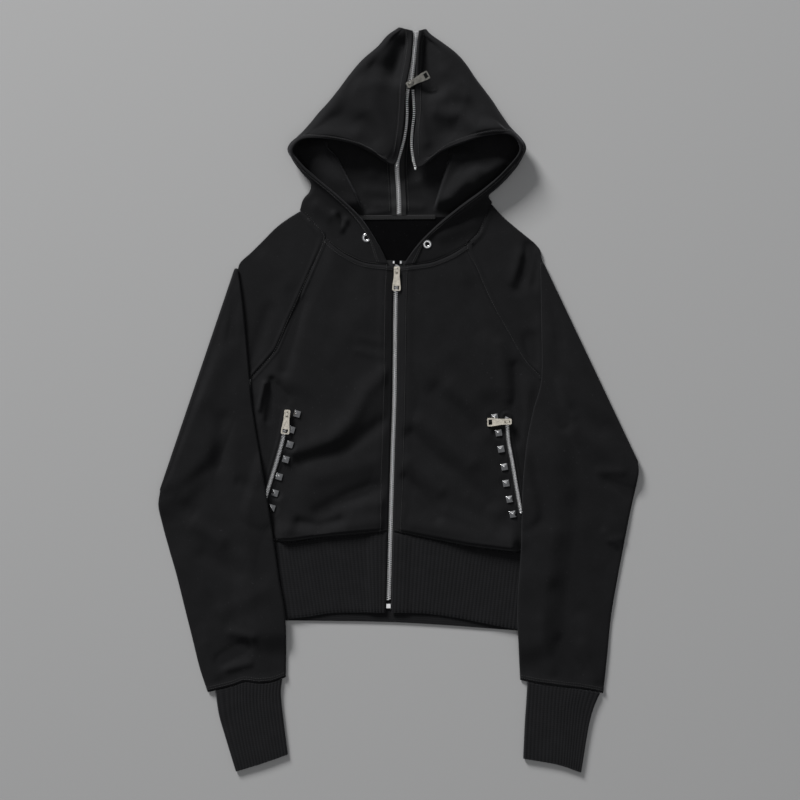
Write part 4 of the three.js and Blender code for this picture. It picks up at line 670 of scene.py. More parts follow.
# Cuffs
# Tubes of 2 by 2 cotton rib, a doubled layer sewn to the gathered sleeve end. They lie flat.
RIB = 2.2
RIB_RISE = 0.5
RIB_PITCH = 5.2
CUFF_LOFT = 0.8
CUFF_SPAN = {"right": (0.05, 0.94), "left": (0.09, 0.97)}
CUFF_INNER = {"right": [(-159.3, -396.9), (-155.2, -436.1), (-149.9, -477.9)],
              "left": [(171.5, -407.7), (169.4, -438.8), (167.4, -483.3)]}
CUFF_OUTER = {"right": [(-243, -423.9), (-234.9, -452.3), (-220.1, -500.9)],
              "left": [(261.9, -417.2), (255.2, -444.2), (245.7, -502.2)]}
CUFF_END = {"right": [(-149.9, -477.9), (-185, -490.1), (-220.1, -500.9)],
            "left": [(167.4, -483.3), (213.3, -491.4), (245.7, -502.2)]}
STEPS_PER_RIB = 6


def ribs(run):
    """Height of the rib face at a place along it: rounded bands with a narrow valley between."""
    return step(0.62 + 0.62 * np.cos(2 * math.pi * run / RIB_PITCH))


def rib_finish():
    """Dull black cotton rib, mottled in tone, with knitted rows across."""
    cloth = Finish("rib", Roughness=0.95, Sheen_Weight=0.25, Sheen_Roughness=0.5,
                   Sheen_Tint=(0.55, 0.56, 0.6, 1), Specular_IOR_Level=0.2)
    place = cloth.node("TexCoord", output=3)
    grain = cloth.node("UVMap", {"uv_map": "grain"})
    mottle = cloth.node("TexNoise", Vector=place, Scale=60, Detail=4)
    courses = cloth.node("TexWave", {"bands_direction": "Y"}, Vector=grain, Scale=110, Distortion=1.5,
                         Detail=1)
    shades = {"stops": [(0.3, (0.0036, 0.0036, 0.0041)), (0.75, (0.0078, 0.0078, 0.0087))]}
    tone = cloth.node("ValToRGB", shades, Fac=mottle * 0.6 + courses * 0.4)
    surface = cloth.node("Bump", Strength=0.4, Distance=0.0005, Height=courses * 0.6 + mottle * 0.4)
    return cloth.feed(Base_Color=tone, Normal=surface)


RIB_FINISH = rib_finish()

for side in SIDES:
    span = np.linspace(*CUFF_SPAN[side], 25)
    start = [tuple(spot) for spot in spline(CUFF_SEAM[side], span)]
    width = math.dist(start[0], start[-1])
    count = round(width / RIB_PITCH) * STEPS_PER_RIB
    shares = np.concatenate([[0, 0.003, 0.009, 0.016], np.linspace(0.024, 0.976, count),
                             [0.984, 0.991, 0.997, 1]])
    rows = np.linspace(0.005, 1, 44)
    plan = patch(start, CUFF_END[side], [start[0], *CUFF_INNER[side]], [start[-1], *CUFF_OUTER[side]],
                 rows, shares)
    band = ribs(shares * width + 0.4 * RIB_PITCH)
    lean = 0.5 * np.sin(rows * 5 + 1)[:, None] * np.sin(math.pi * shares)[None]
    crown = 2 * RIB + CUFF_LOFT + 0.5 * np.sin(math.pi * shares) + lean + unevenness(plan, 0.4, 23)
    turned_end = 0.7 * swell((1 - rows) * 90, 4)[:, None]
    top = crown + RIB_RISE * 1.2 * band - turned_end
    under = 0.4 * (1 - band) * np.ones((len(rows), 1))
    outer = np.array([tube_ring(plan[i], plan[i], top[i], under[i], shares, 2.4) for i in range(len(rows))])
    cuff = wall_object(f"cuff_tube_{side}", outer, hollowed(outer, 1.6), closed=True)
    sew_in(cuff, RIB_FINISH, [f"cuff_{side}"])

# Hem band
# One strip of the same rib, doubled, from one side of the front zip round the back to the other. The
# fronts are a little fuller than it and blouse over its seam.
HEM_BAND_LIFT = 0.4
HEM_SEAM_AT_BACK = -199
HEM_BOTTOM_AT_BACK = -300
HEM_BOTTOM_AT_ZIP = -286.5


def band_row(share):
    """One row of the band: from the zip out to the right side, under the back, and in to the zip again."""
    outer, inner = [], []
    ends = {}
    for side in SIDES:
        way = -1 if side == "right" else 1
        start = [*HEM_SEAM[side][:-1], (float(zip_x(HEM_SEAM_AT_ZIP)) + way * EDGE_TO_ZIP, HEM_SEAM_AT_ZIP)]
        foot = (float(zip_x(HEM_BOTTOM_AT_ZIP)) + way * EDGE_TO_ZIP, HEM_BOTTOM_AT_ZIP)
        end = [*HEM_BOTTOM[side][:-1], foot]
        length = abs(start[0][0] - start[-1][0])
        count = round(length / RIB_PITCH) * STEPS_PER_RIB
        shares = np.linspace(0, 1, count)
        plan = patch(start, end, [start[0], end[0]], [start[-1], end[-1]], np.array([share]), shares)[0]
        x, y = plan[:, 0], plan[:, 1]
        lift = ZIP_LIFT * step((ZIP_LIFT_HALF + 20 - np.abs(x - zip_x(y))) / 20)
        waves = 0.5 * np.sin(x / 23 + 2 * share) * (1 - step(lift))
        under = RIB + LAY + np.maximum(HEM_BAND_LIFT, lift) + waves
        edge = np.minimum(1, 0.55 + (1 - shares) * length / 2.4)
        face = under + RIB * edge + RIB_RISE * 1.1 * ribs(shares * length)
        face -= 0.9 * swell((1 - share) * 100, 2.5) + 0.9 * swell(share * 100, 2)
        side_round = np.sqrt(np.clip(1 - (1 - np.clip(shares * length / 2.6, 0, 1)) ** 2, 0, 1))
        middle = face[6] / 2
        face = middle + (face - middle) * side_round
        ends[side] = (plan, face, under, middle)
    (plan_r, face_r, under_r, mid_r), (plan_l, face_l, under_l, mid_l) = ends["right"], ends["left"]
    back_at = HEM_SEAM_AT_BACK + share * (HEM_BOTTOM_AT_BACK - HEM_SEAM_AT_BACK)
    width = plan_l[0, 0] - plan_r[0, 0]
    under_shares = np.concatenate([[0.002, 0.005], np.linspace(0.01, 0.99, 72 * 4), [0.995, 0.998]])
    under_plan = spline([plan_r[0], (0, back_at), plan_l[0]], under_shares)
    near_end = np.minimum(under_shares, 1 - under_shares) * width
    rise = 1 - np.sqrt(np.clip(1 - (1 - np.clip(near_end / 2.6, 0, 1)) ** 2, 0, 1))
    floor_face = mid_r * rise + 0.4 * (1 - ribs(under_shares * width)) * (1 - rise)
    outer = np.concatenate([with_height(plan_r[::-1], face_r[::-1]), with_height(under_plan, floor_face),
                            with_height(plan_l, face_l)])
    inside_r = np.maximum(under_r, mid_r + (under_r - mid_r) * step(np.arange(len(under_r)) / 8))
    inside_l = np.maximum(under_l, mid_l + (under_l - mid_l) * step(np.arange(len(under_l)) / 8))
    drawn = lambda plan, sign: plan + np.stack([sign * RIB * (1 - step(np.arange(len(plan)) / 12)),
                                                np.zeros(len(plan))], axis=-1)
    inner = np.concatenate([with_height(drawn(plan_r, 1)[::-1], np.minimum(under_r, inside_r)[::-1]),
                            with_height(under_plan + np.stack([RIB * rise * np.sign(0.5 - under_shares),
                                                               0 * rise], axis=-1),
                                        RIB * (1 - rise) + mid_r * rise),
                            with_height(drawn(plan_l, -1), np.minimum(under_l, inside_l))])
    return outer, inner


hem_rows = [band_row(share) for share in np.concatenate([[0.003, 0.012, 0.025], np.linspace(0.04, 0.96, 32),
                                                         [0.972, 0.985, 0.994, 1]])]
hem_band = wall_object("hem_band_strip", np.array([row[0] for row in hem_rows]),
                       np.array([row[1] for row in hem_rows]))
sew_in(hem_band, RIB_FINISH, ["hem_band"])

# Hood
# Two halves of the fleece, joined by the hood zip and sewn to the neck. Each lies with its back on the
# surface, turns up and over at the side, and comes forward to its mouth, which has a wide turned hem.
HOOD_HEM = 2.6
MOUTH_HEM = 17
HOOD_TOP_SHARES = [0.14, 0.32, 0.48, 0.65, 0.83, 1]
ROWS_TO_MOUTH_END = 11
# Rows from the neck seam to the crown: x and y of centre back, valley inside, side fold and free edge,
# then the heights of fold and edge, and how far the wall inside stands up
HOOD_ROWS = {
    "right": [
        (0, 246.4, -80, 245.8, -132.3, 255.2, -13.5, 180.9, 2, 5.3, 0),
        (0, 261.9, -52.7, 259.2, -128.2, 270, -27, 207.9, 4, 9, 2),
        (-0.7, 276.8, -58.1, 276.8, -119.5, 281, -50, 243, 6, 13, 4),
        (-1.4, 291.6, -67.5, 295, -118.5, 293, -79.7, 271.4, 8, 18, 7),
        (-2.7, 307.8, -78.3, 310, -131.5, 307.8, -107, 294, 10, 21, 8),
        (-2.7, 322.7, -87.8, 324, -143, 324, -127, 311, 12, 24, 8),
        (-2, 337.5, -90.5, 337.5, -147.5, 337.5, -142, 332, 13, 26, 7),
        (-0.7, 351, -87.8, 349, -140, 349, -128, 348.5, 13, 27, 5),
        (0.7, 364.5, -79.7, 361, -128.5, 360.5, -93.2, 349, 12.5, 27, 4),
        (2.7, 379.4, -71.6, 375, -117.5, 373, -56.7, 341.6, 12, 25, 2),
        (4.7, 394.2, -63.5, 389, -107.5, 385.5, -31.1, 329.4, 11, 21, 1),
        (6.8, 409.1, -55.4, 404, -94, 400.5, -6.3, 315.9, 10, 17, 0),
        (9.5, 425.2, -44.6, 421.2, -79, 419.5, 3.3, 349.7, 9, 17, 0),
        (12.8, 442.8, -33.8, 438.8, -64.8, 438.8, 7.5, 386.8, 8, 17, 0),
        (16.2, 459, -23, 456.3, -48.6, 457.7, 9.5, 421.2, 7.5, 16, 0),
        (19.6, 475.2, -9.5, 473.9, -28.4, 475.2, 15.5, 456.3, 7, 14, 0),
        (22.3, 489, 5.4, 489, -15.5, 490, 17.8, 482, 6.5, 12.5, 0),
        (23, 498, 13, 498, 0, 501, 18.6, 496, 6, 11.5, 0),
    ],
    "left": [
        (0, 246.4, 79, 247.1, 124.2, 264.6, 4.1, 179.6, 2, 5.3, 0),
        (0, 261.9, 51.3, 260.6, 121, 271, 20.2, 202.5, 4, 9, 2),
        (-0.7, 276.8, 56.7, 275.4, 121, 277, 44.6, 228.2, 6, 13, 4),
        (-1.4, 291.6, 64.8, 293, 132, 286, 77, 255.2, 8, 18, 7),
        (-2.7, 307.8, 74.2, 309, 147.2, 301.1, 112, 281, 10, 21, 8),
        (-2.7, 322.7, 83.7, 323, 161, 318.5, 140, 306, 12, 24, 8),
        (-2, 337.5, 90.5, 337, 168.8, 338, 161, 334, 13, 26, 7),
        (-0.7, 351, 91.8, 351, 160, 354, 149, 354, 13, 27, 5),
        (0.7, 364.5, 87.8, 364.5, 147.2, 368.6, 118.8, 353.7, 12.5, 27, 4),
        (2.7, 379.4, 82.4, 379, 135, 386.1, 87.8, 344.9, 12, 25, 2),
        (4.7, 394.2, 77, 394.2, 125.6, 401, 55.4, 332.1, 11, 21, 1),
        (6.8, 409.1, 71.6, 409.1, 114.8, 415.8, 25.6, 311.9, 10, 17, 0),
        (9.5, 425.2, 64.8, 425.2, 102.6, 432, 20.4, 344.2, 9, 17, 0),
        (12.8, 442.8, 56.7, 442.8, 90.5, 450.5, 23.5, 382.7, 8, 17, 0),
        (16.2, 459, 47.2, 459, 77, 466, 22.3, 418, 7.5, 16, 0),
        (19.6, 475.2, 36.5, 476.6, 59, 480, 24.1, 455.6, 7, 14, 0),
        (22.3, 489, 33, 490, 43, 491.4, 26, 481.6, 6.5, 12.5, 0),
        (23, 498, 30, 498, 36, 499, 27, 496, 6, 11.5, 0),
    ],
}
# x1, y1, x2, y2, rise, width of the creases in the layer on top, and of those inside the mouth
HOOD_CREASES = [
    (50, 386, 66, 382, 82, 384, 104, 364, 136, 364, 5, 10), (48, 402, 66, 412, 88, 408, 4, 11),
    (60, 360, 96, 352, -2.0, 10), (30, 476, 36, 452, 46, 420, -12, 14), (4, 478, -4, 452, -8, 436, -12, 12),
    (-44, 420, -14, 428, 3.6, 11), (-34, 448, -18, 448, -3, 10), (24, 398, 36, 346, 3, 8),
    (-34, 404, -14, 336, 4, 12), (-112, 358, -60, 354, 2.6, 9), (-60, 420, -46, 390, 3, 15),
    (-96, 390, -62, 372, -3, 13), (96, 424, 118, 394, 2.4, 11), (-87, 250, -78, 230, -71, 242, 3, 4),
    (-80, 247, -76, 238, -2, 3.5), (56, 222, 98, 238, 2.4, 9), (-112, 262, -94, 248, 2.4, 8),
    (100, 262, 128, 276, -2, 9), (-48, 376, -32, 350, -2.6, 9), (62, 440, 78, 424, 2.4, 10),
]
INNER_CREASES = [
    (-36, 306, -32, 328, 2.6, 9), (-20, 322, -16, 300, 2.0, 7), (104, 306, 88, 292, 70, 272, 6, 10),
    (136, 318, 120, 306, 104, 290, 5, 9), (-30, 262, 30, 260, 1.6, 6), (-40, 252, -16, 254, 1.4, 4.5),
    (14, 292, 44, 298, 2, 8), (-44, 284, -12, 280, 1.8, 8),
]
# Where the cloth of each side wall folds over towards the centre back, inside the mouth
LOBES = {"right": [(-98, 340), (-86, 328), (-76, 310), (-60, 279), (-47, 246)],
         "left": [(70, 330), (62, 304), (54, 276), (46, 250)]}


def hood_row(side, i):
    """One row of the half's form: 16 spots from the centre back to the free edge."""
    bx, by, vx, vy, fx, fy, ex, ey, fold_z, edge_z, wall = HOOD_ROWS[side][i]
    way = -1 if side == "right" else 1
    back = np.array([bx + way * EDGE_TO_ZIP * (0.9 if i == 0 else 1), by])
    valley, fold, edge = np.array([vx, vy]), np.array([fx, fy]), np.array([ex, ey])
    low = FLEECE / 2
    reach = fold_z - low
    top_z = fold_z + reach * 0.85

    def inwards(target):
        share = min(0.45, 0.8 * min(reach, 9) / np.linalg.norm(target - fold))
        return fold + share * (target - fold)

    spots = [(*(back + share * (valley - back)), low) for share in (0, 0.35, 0.75, 1)]
    for share, rise in ((0.18, 0.6), (0.45, 1), (0.72, 0.55)):
        spots.append((*(valley + share * (fold - valley)), low + wall * rise))
    spots += [(*inwards(valley), fold_z - reach * 0.75), (*fold, fold_z), (*inwards(edge), top_z)]
    for k, share in enumerate(HOOD_TOP_SHARES):
        flat = NECK[side][k + 1] if i == 0 else inwards(edge) + share * (edge - inwards(edge))
        arch = math.sin(math.pi * share) * (1.5 if i > 6 else 0.8) * min(1, i / 3)
        spots.append((*flat, top_z + share * (edge_z - top_z) + arch))
    return spots


def lobe(side, plan):
    """Height of the side wall's fold: a steep drop on its line, and a slow fall away behind it."""
    line = np.array(LOBES[side])[::-1]
    way = -1 if side == "right" else 1
    behind = way * (plan[..., 0] - np.interp(plan[..., 1], line[:, 1], line[:, 0]))
    along_line = step((plan[..., 1] - line[0, 1]) / 22) * (1 - step((plan[..., 1] - line[-1, 1]) / 14))
    return 11 * along_line * step((behind + 2) / 4) * swell(np.maximum(behind, 0), 26)


def surface_normals(grid, upwards_at):
    """Unit normals of a grid, turned to point up at the given spot."""
    normals = np.cross(np.gradient(grid, axis=1), np.gradient(grid, axis=0))
    normals /= np.linalg.norm(normals, axis=-1, keepdims=True)
    return normals if normals[upwards_at][2] > 0 else -normals


def rounded_edge(distance, half):
    """Half thickness of cloth near an edge that is turned under."""
    return half * np.sqrt(np.clip(1 - (1 - np.clip(distance / half, 0, 1)) ** 2, 0.02, 1))


HOOD_DOWN = dense_ends(150, 0.01)
HOOD_ACROSS = dense_ends(170, 0.008)
MOUTH_ROW = int(np.searchsorted(HOOD_DOWN, ROWS_TO_MOUTH_END / 17))
TOP_COLUMN = int(np.searchsorted(HOOD_ACROSS, 9.4 / 15))
hood_mid, hood_normal, hood_outer, hood_objects = {}, {}, {}, {}
for side in SIDES:
    form = np.array([hood_row(side, i) for i in range(18)])
    grid = spline(spline(form, HOOD_DOWN).swapaxes(0, 1), HOOD_ACROSS).swapaxes(0, 1)
    plan = grid[..., :2]
    on_top = step((HOOD_ACROSS - 0.61) / 0.07)[None]
    inside = (1 - step((HOOD_ACROSS - 0.40) / 0.1))[None]
    from_edge = arc_lengths(grid[:, ::-1], 1)[:, ::-1] / MM
    from_back = arc_lengths(grid, 1) / MM
    from_neck = arc_lengths(grid, 0) / MM
    at_mouth = (1 - step((HOOD_DOWN * 17 - ROWS_TO_MOUTH_END + 0.2) / 0.4))[:, None]
    at_zip = 1 - at_mouth
    creases = folded(plan, HOOD_CREASES) + unevenness(plan, 1.5, 31)
    creases = creases * step(from_edge / (22 * at_mouth + 10 * at_zip)) * step(from_neck / 8)
    settled = folded(plan, INNER_CREASES) + unevenness(plan, 0.6, 37) + lobe(side, plan)
    settled = settled * step(from_neck / 10)
    seams = -0.9 * swell(from_neck, 1.1) + 0.5 * swell(from_neck - 4, 2.2)
    grid[..., 2] += on_top * (creases + seams) + inside * np.maximum(settled, 0)
    normal = surface_normals(grid, (60, -20))
    hem = at_mouth * step((MOUTH_HEM - from_edge) / 2) * step(from_neck / 3)
    turned = (at_zip * step((ZIP_TOPSTITCH - from_edge) / 2) + step((ZIP_TOPSTITCH - from_back) / 2)) * 0.25
    groove = at_mouth * swell(from_edge - MOUTH_HEM, 1.3) + at_zip * swell(from_edge - ZIP_TOPSTITCH, 1)
    half = FLEECE / 2 + 1.25 * hem + turned - 0.5 * groove * on_top
    half = rounded_edge(np.minimum(from_edge, from_back) + 0.02, half)
    outer, inner = grid + normal * half[..., None], grid - normal * half[..., None]
    for face in (outer, inner):
        face[..., 2] = np.maximum(face[..., 2], 0)
    hood_mid[side], hood_normal[side], hood_outer[side] = grid, normal, outer
    half_hood = wall_object(f"hood_half_{side}", outer, inner)
    hood_objects[side] = half_hood
    sew_in(half_hood, FLEECE_FINISH, [f"hood_{side}"])
    lines = [inset_line(outer, "far", MOUTH_HEM - inset, 0.1, 4, MOUTH_ROW) for inset in (1.5, 4.2)]
    lines.append(inset_line(outer, "far", ZIP_TOPSTITCH - 1.5, 0.1, MOUTH_ROW + 4, -6))
    lines.append(inset_line(outer, "start", 2.6, 0.45, TOP_COLUMN, -3))
    lines.append(inset_line(inner, "near", ZIP_TOPSTITCH - 1.5, 0.1, 8, -6))
    grown(f"hood_stitching_{side}", lines, STITCHING, slot="fleece", **STITCH)

# Eyelets
# Nickel eyelets in the hem at each side of the neck, set through the cloth, with nothing threaded in them.
EYELETS = {"right": (-44, 218.3), "left": (38, 209.7)}
EYELET_PROFILE = [(2.5, -2.4), (3.2, -2.4), (3.2, 0.1), (5.7, 0.1), (6, 0.3), (5.95, 0.6), (5.5, 0.9),
                  (4.7, 1.12), (3.9, 1.2), (3.2, 1.1), (2.7, 0.8), (2.5, 0.4)]
EYELET_SEGMENTS = 56


def metal_finish(name, colour, roughness, worn):
    """Plated metal, a little uneven in its polish, dulled where it has been rubbed."""
    metal = Finish(name, Metallic=1.0, Specular_IOR_Level=0.5)
    place = metal.node("TexCoord", output=3)
    rub = metal.node("TexNoise", Vector=place, Scale=260, Detail=4, Roughness=0.65)
    fine = metal.node("TexNoise", Vector=place, Scale=1600, Detail=2)
    rubbed = tuple(channel * worn for channel in colour)
    tone = metal.node("ValToRGB", {"stops": [(0.25, rubbed), (0.7, colour)]}, Fac=rub)
    polish = roughness + 0.18 * rub
    surface = metal.node("Bump", Strength=0.12, Distance=0.0001, Height=fine)
    return metal.feed(Base_Color=tone, Roughness=polish, Normal=surface)


def lathe(name, profile, segments, spot, normal):
    """Turned piece set on a spot, its axis along the normal, in millimetres."""
    turn = np.linspace(0, 2 * math.pi, segments, endpoint=False)
    aside = np.cross(normal, (0, 1, 0))
    aside /= np.linalg.norm(aside)
    other = np.cross(normal, aside)
    profile = np.array(profile)
    ring = np.cos(turn)[:, None] * aside + np.sin(turn)[:, None] * other
    points = spot + profile[:, 0, None, None] * ring + profile[:, 1, None, None] * normal
    count = len(profile)
    index = np.arange(count * segments).reshape(count, segments)
    onward, around = np.roll(index, -1, axis=0), np.roll(index, -1, axis=1)
    faces = np.stack([index, onward, np.roll(onward, -1, axis=1), around], axis=-1).reshape(-1, 4)
    mesh = bpy.data.meshes.new(name)
    mesh.from_pydata(((points.reshape(-1, 3) + SET_DOWN) * MM).tolist(), [], faces.tolist())
    mesh.update()
    mesh.shade_smooth()
    mesh.set_sharp_from_angle(angle=math.radians(50))
    obj = bpy.data.objects.new(name, mesh)
    bpy.context.scene.collection.objects.link(obj)
    return obj


def cut_hole(obj, spot, normal, radius):
    """Round hole through the cloth, cut in the mesh itself."""
    drill = lathe("drill", [(0.01, -5), (radius, -5), (radius, 5), (0.01, 5)], 40, spot, normal)
    cut = obj.modifiers.new("hole", "BOOLEAN")
    cut.operation = "DIFFERENCE"
    cut.object = drill
    pierced = bpy.data.meshes.new_from_object(obj.evaluated_get(bpy.context.evaluated_depsgraph_get()))
    obj.modifiers.clear()
    obj.data = pierced
    bpy.data.objects.remove(drill)


STUD_FINISH = metal_finish("stud_nickel", (0.72, 0.72, 0.73), 0.12, 0.7)
for side in SIDES:
    top = hood_outer[side][4:, TOP_COLUMN:]
    near = np.linalg.norm(top[..., :2] - EYELETS[side], axis=-1)
    i, j = np.unravel_index(near.argmin(), near.shape)
    spot, normal = top[i, j] * 1.0, hood_normal[side][4:, TOP_COLUMN:][i, j]
    spot[:2] = EYELETS[side]
    eyelet = lathe(f"eyelet_ring_{side}", EYELET_PROFILE, EYELET_SEGMENTS, spot, normal)
    eyelet.data.materials.append(STUD_FINISH)
    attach(eyelet, "garment")
    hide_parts(f"eyelet_{side}")
    cut_hole(hood_objects[side], spot, normal, 3.3)

# Neck tape
# Woven tape sewn over the seam of hood and back, where it shows inside the neck.
TAPE = 0.8
PIECE_GAP = 0.3
NECK_TAPE_HALF = 3


def tape_finish():
    """Woven polyester tape: fine diagonal twill with a faint lustre."""
    tape = Finish("tape", Roughness=0.75, Sheen_Weight=0.15, Specular_IOR_Level=0.3)
    grain = tape.node("UVMap", {"uv_map": "grain"})
    twill = tape.node("TexWave", {"bands_direction": "DIAGONAL"}, Vector=grain, Scale=260)
    cross = tape.node("TexWave", {"bands_direction": "X"}, Vector=grain, Scale=420)
    tone = tape.node("ValToRGB", {"stops": [(0.1, (0.0035, 0.0035, 0.0038)), (0.9, (0.008, 0.008, 0.0088))]},
                     Fac=twill * 0.7 + cross * 0.3)
    surface = tape.node("Bump", Strength=0.5, Distance=0.0003, Height=twill)
    return tape.feed(Base_Color=tone, Normal=surface)


def tape_object(name, top, bottom, nodes):
    tape = wall_object(name, top, bottom)
    tape.data.materials.append(TAPE_FINISH)
    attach(tape, "garment")
    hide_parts(*nodes)
    return tape


TAPE_FINISH = tape_finish()
tape_x = np.linspace(-54, 49, 60)
tape_y = spline(BACK_NECK, (tape_x - BACK_NECK[0][0]) / (BACK_NECK[2][0] - BACK_NECK[0][0]))[:, 1]
across = np.linspace(-NECK_TAPE_HALF, NECK_TAPE_HALF, 9)
tape_plan = np.stack([np.broadcast_to(tape_x, (9, 60)), tape_y + across[:, None]], axis=-1)
crown = TAPE * np.sqrt(np.clip(1 - (np.abs(across) / (NECK_TAPE_HALF + 0.01)) ** 2, 0, 1))[:, None]
tape_low = FLEECE + PIECE_GAP
neck_tape = tape_object("neck_tape_strip", with_height(tape_plan, tape_low + crown),
                        with_height(tape_plan, tape_low + 0 * crown), ["neck_tape"])
lines = [np.stack([tape_x[1:-1], tape_y[1:-1] + reach, np.full(58, tape_low + TAPE + 0.05)], axis=-1)
         for reach in (-2.3, 2.3)]
grown("neck_tape_stitching", lines, STITCHING, slot="tape", **STITCH)

# Front zip
# Open-end zip with metal teeth on two woven tapes, which are sewn under the front edges. It is closed,
# with its slider at the neck, stops above it, and the box and pin at the foot.
CHAIN_HEIGHT = 2.0
CHAIN_HALF = 3.0
TAPE_REACH = 14
TAPE_Z = RIB + PIECE_GAP + CHAIN_HEIGHT / 2
TOOTH_PITCH = 0.00128


def teeth_tree():
    """Zip teeth along a line: one set per pitch, each turned about the line by its share of a turn."""
    tree = bpy.data.node_groups.new("zip_teeth", "GeometryNodeTree")
    for label, kind in (("Line", "Geometry"), ("Pitch", "Float"), ("Tooth", "Object"), ("Scale", "Float"),
                        ("First", "Float"), ("Alternate", "Float"), ("Finish", "Material")):
        tree.interface.new_socket(label, in_out="INPUT", socket_type="NodeSocket" + kind)
    tree.interface.new_socket("Teeth", in_out="OUTPUT", socket_type="NodeSocketGeometry")
    given = tree.nodes.new("NodeGroupInput").outputs

    def node(kind, links, values=(), **settings):
        made = tree.nodes.new(kind)
        for setting, value in settings.items():
            setattr(made, setting, value)
        for slot, source in links.items():
            tree.links.new(source, made.inputs[slot])
        for slot, value in dict(values).items():
            made.inputs[slot].default_value = value
        return made.outputs

    curve = node("GeometryNodeMeshToCurve", {"Mesh": given["Line"]})[0]
    cut = node("GeometryNodeResampleCurve", {"Curve": curve, "Length": given["Pitch"]}, mode="LENGTH")[0]
    tangent = node("GeometryNodeInputTangent", {})[0]
    along_line = node("FunctionNodeAlignRotationToVector", {"Vector": tangent}, axis="Y")[0]
    odd = node("ShaderNodeMath", {0: node("GeometryNodeInputIndex", {})[0]}, {1: 2.0}, operation="MODULO")[0]
    angle = node("ShaderNodeMath", {0: odd, 1: given["Alternate"], 2: given["First"]},
                 operation="MULTIPLY_ADD")[0]
    euler = node("ShaderNodeCombineXYZ", {"Z": angle})[0]
    spin = node("FunctionNodeEulerToRotation", {0: euler})[0]
    facing = node("FunctionNodeRotateRotation", {0: along_line, 1: spin}, rotation_space="LOCAL")[0]
    tooth = node("GeometryNodeObjectInfo", {"Object": given["Tooth"]})["Geometry"]
    set_in = node("GeometryNodeInstanceOnPoints",
                  {"Points": cut, "Instance": tooth, "Rotation": facing, "Scale": given["Scale"]})[0]
    real = node("GeometryNodeRealizeInstances", {"Geometry": set_in})[0]
    dressed = node("GeometryNodeSetMaterial", {"Geometry": real, "Material": given["Finish"]})[0]
    node("NodeGroupOutput", {0: dressed})
    return tree


def tooth_object():
    """One stamped tooth, from its root at the tape to its head just past the middle of the chain."""
    outline = np.array([(-3, -0.42), (-2.6, -0.56), (-1.2, -0.5), (0, -0.56), (0.8, -0.34), (0.8, 0.34),
                        (0, 0.56), (-1.2, 0.5), (-2.6, 0.56), (-3, 0.42)])
    levels = ((-1, 0.86), (-0.78, 1), (0.62, 1), (0.92, 0.82), (1, 0.6))
    middle = np.array([-1.1, 0])
    points = [(*(middle + (spot - middle) * scale), z) for z, scale in levels for spot in outline]
    count = len(outline)
    faces = []
    for low in range(0, (len(levels) - 1) * count, count):
        for k in range(count):
            after = (k + 1) % count
            faces.append([low + k, low + after, low + count + after, low + count + k])
    faces += [list(range(count))[::-1], list(range((len(levels) - 1) * count, len(levels) * count))]
    mesh = bpy.data.meshes.new("tooth")
    mesh.from_pydata((np.array(points) * MM).tolist(), [], faces)
    return bpy.data.objects.new("tooth", mesh)


def strip(path, from_x, to_x, thickness, columns=7):
    """Level strip along a path: its top and bottom grids, from one offset to the other beside the path."""
    run = np.gradient(path, axis=0)
    run /= np.linalg.norm(run, axis=-1, keepdims=True)
    side_way = np.array([1.0, 0, 0]) - run * run[:, :1]
    side_way /= np.linalg.norm(side_way, axis=-1, keepdims=True)
    up = np.cross(side_way, run)
    share = np.linspace(0, 1, columns)
    reach = from_x + share * (to_x - from_x)
    base = path[:, None] + reach[None, :, None] * side_way[:, None]
    rim = np.sqrt(np.clip(1 - (2 * np.abs(share - 0.5)) ** 8, 0.05, 1))[None, :, None]
    lift = up[:, None] * thickness / 2 * rim
    return base + lift, base - lift


ZIP_FINISH = metal_finish("zip_nickel", (0.9, 0.9, 0.91), 0.26, 0.78)
PULL_FINISH = metal_finish("pull_nickel", (0.74, 0.69, 0.6), 0.22, 0.5)
TEETH = teeth_tree()
TOOTH = tooth_object()
CLOSED = {"Pitch": TOOTH_PITCH, "Tooth": TOOTH, "Scale": 1.0, "First": 0.0, "Alternate": math.pi,
          "Finish": ZIP_FINISH}


def teeth(name, lines, nodes=(), **sizes):
    """Grown teeth, which stand for the plain chain of the frame."""
    chain = grown(name, lines, TEETH, slot="zip_metal", **{**CLOSED, **sizes})
    if nodes:
        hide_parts(*nodes)
    return chain


def hardware(names, finish, width=0.25):
    """Die-cast and stamped pieces keep the frame's own shape, with their edges broken."""
    for name in names:
        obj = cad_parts[name]
        obj.data.materials.clear()
        obj.data.materials.append(finish)
        weld = obj.modifiers.new("weld", "WELD")
        weld.merge_threshold = 1e-6
        bevel = obj.modifiers.new("edges", "BEVEL")
        bevel.width = width * MM
        bevel.segments = 2
        bevel.limit_method = "ANGLE"
        bevel.angle_limit = math.radians(28)


zip_path = spline([(x, y, TAPE_Z) for x, y in ZIP_LINE], np.linspace(0, 1, 120))
for side, way in (("right", -1), ("left", 1)):
    top, bottom = strip(zip_path, way * (CHAIN_HALF + PIECE_GAP), way * TAPE_REACH, TAPE)
    tape_object(f"front_tape_{side}", top, bottom, [f"front_zip_tape_{side}"])
chain_path = np.array([spot for spot in zip_path[::-1] if -273.5 < spot[1] < 183])
teeth("front_teeth", [chain_path], ["front_zip_chain"])
hardware(["front_zip_stop_right", "front_zip_stop_left", "front_zip_box"], ZIP_FINISH)
hardware(["front_zip_slider", "front_zip_pull"], PULL_FINISH)

